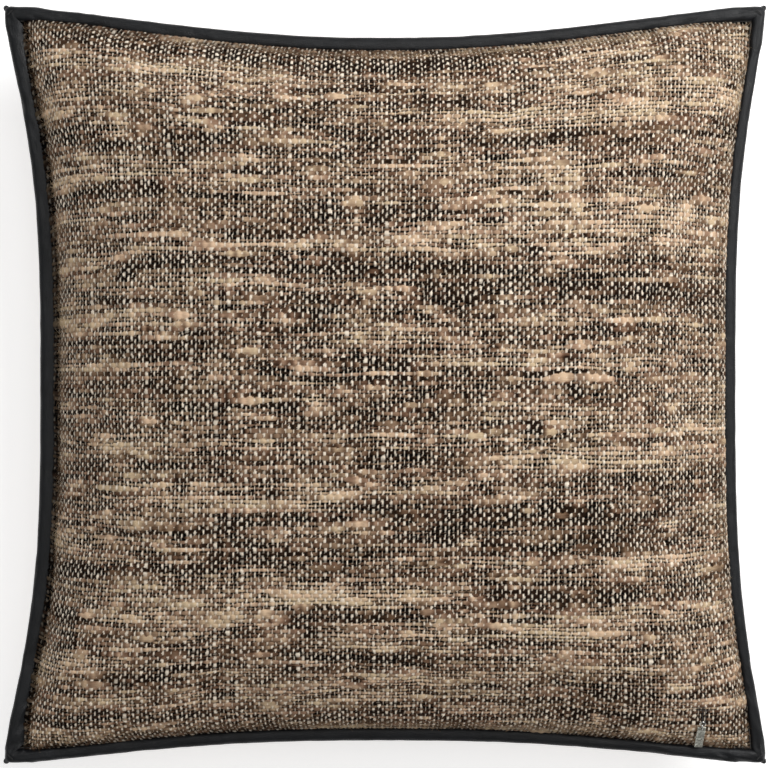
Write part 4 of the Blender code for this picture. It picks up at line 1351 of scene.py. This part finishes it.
class PILLOW_OT_zip(bpy.types.Operator):
    """The zip: coils of nylon, and the frame's own tapes, stops, slider and pull"""

    bl_idname = "pillow.zip"
    bl_label = "Zip"

    def execute(self, context):
        line = settings("zip")
        tilt = math.pi - line.slope
        for side in ("upper", "lower"):
            low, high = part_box(f"zip_coil_{side}")
            middle = (low + high) / 2
            turns = int(2 * line.half / COIL_PITCH)
            s = np.linspace(0, 1, turns * 12)
            angle = 2 * math.pi * turns * s
            across = np.array([0, math.cos(tilt), math.sin(tilt)])
            out = np.array([0, -math.sin(tilt), math.cos(tilt)])
            path = (np.array([0, middle.y, middle.z]) + np.outer((2 * s - 1) * line.half, [1, 0, 0])
                    + np.outer(np.cos(angle) * COIL_RADIUS, across)
                    + np.outer(np.sin(angle) * COIL_RADIUS, out))
            coil = tube(f"nylon_coil_{side}", path, COIL_WIRE, 5, False)
            dress(coil, "zip_nylon")
            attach(coil, COVER)
            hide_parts(f"zip_coil_{side}")
        dress_frame({
            "zip_tape": ("zip_tape_upper", "zip_tape_lower"),
            "black_thread": ("zip_stitching_upper", "zip_stitching_lower"),
            "dark_metal": ("zip_top_stop_upper", "zip_top_stop_lower", "zip_bottom_stop",
                           "zip_slider", "zip_pull"),
        })
        return {"FINISHED"}


class PILLOW_OT_inside(bpy.types.Operator):
    """What the cover hides: cords, seams, label and the feather insert"""

    bl_idname = "pillow.inside"
    bl_label = "Inside"

    def execute(self, context):
        dress_frame({
            "cotton_cord": [f"piping_cord_{side}" for side in SIDES] + ["insert_edge_stitching"],
            "black_thread": ["front_seam_thread", "back_seam_thread"],
            "ticking": ["insert_case_front", "insert_case_back"],
            "feather": ["insert_filling"],
            "label_satin": ["care_label"],
        })
        return {"FINISHED"}


# ------------------------------------------------------------------ stage


CAMERA_DISTANCE = 1.25  # above the seam's plane
VIEW_WIDTH = 0.5127  # how much of that plane the view takes in
SENSOR = 36
WORLD_LIGHT = 0.24
LAMPS = (("key", (0.90, 0.85, 1.35), 0.9, 22), ("fill", (-1.2, -0.4, 1.3), 1.4, 0.7),
         ("top", (0.1, 0.2, 2.2), 1.2, 9))
FLOOR_REACH = 4
FLOOR_DROP = 0.0002


class PILLOW_OT_stage(bpy.types.Operator):
    """Plain pale floor, soft studio lights and the camera straight above"""

    bl_idname = "pillow.stage"
    bl_label = "Stage"

    def execute(self, context):
        scene = context.scene
        points = [(x * FLOOR_REACH, y * FLOOR_REACH, -FLOOR_DROP)
                  for x, y in ((-1, -1), (1, -1), (1, 1), (-1, 1))]
        floor = mesh_object("studio_floor", points, np.array([[0, 1, 2, 3]]))
        pale = Graph("pale_floor", Roughness=0.9, Specular_IOR_Level=0.0)
        pale.shader.inputs["Base Color"].default_value = (0.86, 0.86, 0.86, 1)
        pale.shader.inputs["Emission Color"].default_value = (1, 1, 1, 1)
        pale.shader.inputs["Emission Strength"].default_value = 0.55
        floor.data.materials.append(pale.material)

        world = bpy.data.worlds.new("studio")
        scene.world = world
        world.use_nodes = True
        world.node_tree.nodes["Background"].inputs[0].default_value = (1, 1, 1, 1)
        world.node_tree.nodes["Background"].inputs[1].default_value = WORLD_LIGHT
        for lamp in LAMPS:
            self.light(*lamp)

        shape = settings("shape")
        lens = bpy.data.cameras.new("camera")
        lens.sensor_width = SENSOR
        lens.lens = SENSOR * CAMERA_DISTANCE / VIEW_WIDTH
        camera = bpy.data.objects.new("camera", lens)
        scene.collection.objects.link(camera)
        camera.location = (-0.0006, 0.0004, shape.seam + CAMERA_DISTANCE)
        scene.camera = camera
        scene.view_settings.view_transform = "Standard"
        scene.view_settings.look = "None"
        return {"FINISHED"}

    def light(self, name, place, size, power):
        """A round soft lamp that is turned to the pillow."""
        lamp = bpy.data.lights.new(name, "AREA")
        lamp.shape, lamp.size, lamp.energy = "DISK", size, power
        made = bpy.data.objects.new(name, lamp)
        made.location = place
        aim = Vector((0, 0, 0.1)) - Vector(place)
        made.rotation_euler = aim.to_track_quat("-Z", "Y").to_euler()
        bpy.context.scene.collection.objects.link(made)


class PILLOW_PT_panel(bpy.types.Panel):
    """Lists the pillow's sizes, colours and pieces"""

    bl_idname = "PILLOW_PT_panel"
    bl_label = "Throw Pillow"
    bl_space_type = "VIEW_3D"
    bl_region_type = "UI"
    bl_category = "Pillow"

    def draw(self, context):
        for name in GROUPS:
            box = self.layout.box()
            group = settings(name)
            for key in group.__annotations__:
                box.prop(group, key)
        for operator in OPERATORS:
            self.layout.operator(operator.bl_idname)


GROUPS = {"shape": PillowShape, "cloth": PillowCloth, "colours": PillowColours,
          "zip": PillowZip}
OPERATORS = (PILLOW_OT_stage, PILLOW_OT_face, PILLOW_OT_back, PILLOW_OT_fuzz,
             PILLOW_OT_piping, PILLOW_OT_charm, PILLOW_OT_zip, PILLOW_OT_inside)


def register():
    for one in (*GROUPS.values(), *OPERATORS, PILLOW_PT_panel):
        bpy.utils.register_class(one)
    for name, group in GROUPS.items():
        setattr(bpy.types.Scene, "pillow_" + name, PointerProperty(type=group))


def unregister():
    for name in GROUPS:
        delattr(bpy.types.Scene, "pillow_" + name)
    for one in reversed((*GROUPS.values(), *OPERATORS, PILLOW_PT_panel)):
        bpy.utils.unregister_class(one)


def main():
    for old in ("Cube", "Light", "Camera"):
        if old in bpy.data.objects:
            bpy.data.objects.remove(bpy.data.objects[old])
    register()
    make_materials()
    for operator in OPERATORS:
        group, name = operator.bl_idname.split(".")
        getattr(getattr(bpy.ops, group), name)()


if __name__ == "__main__":
    main()
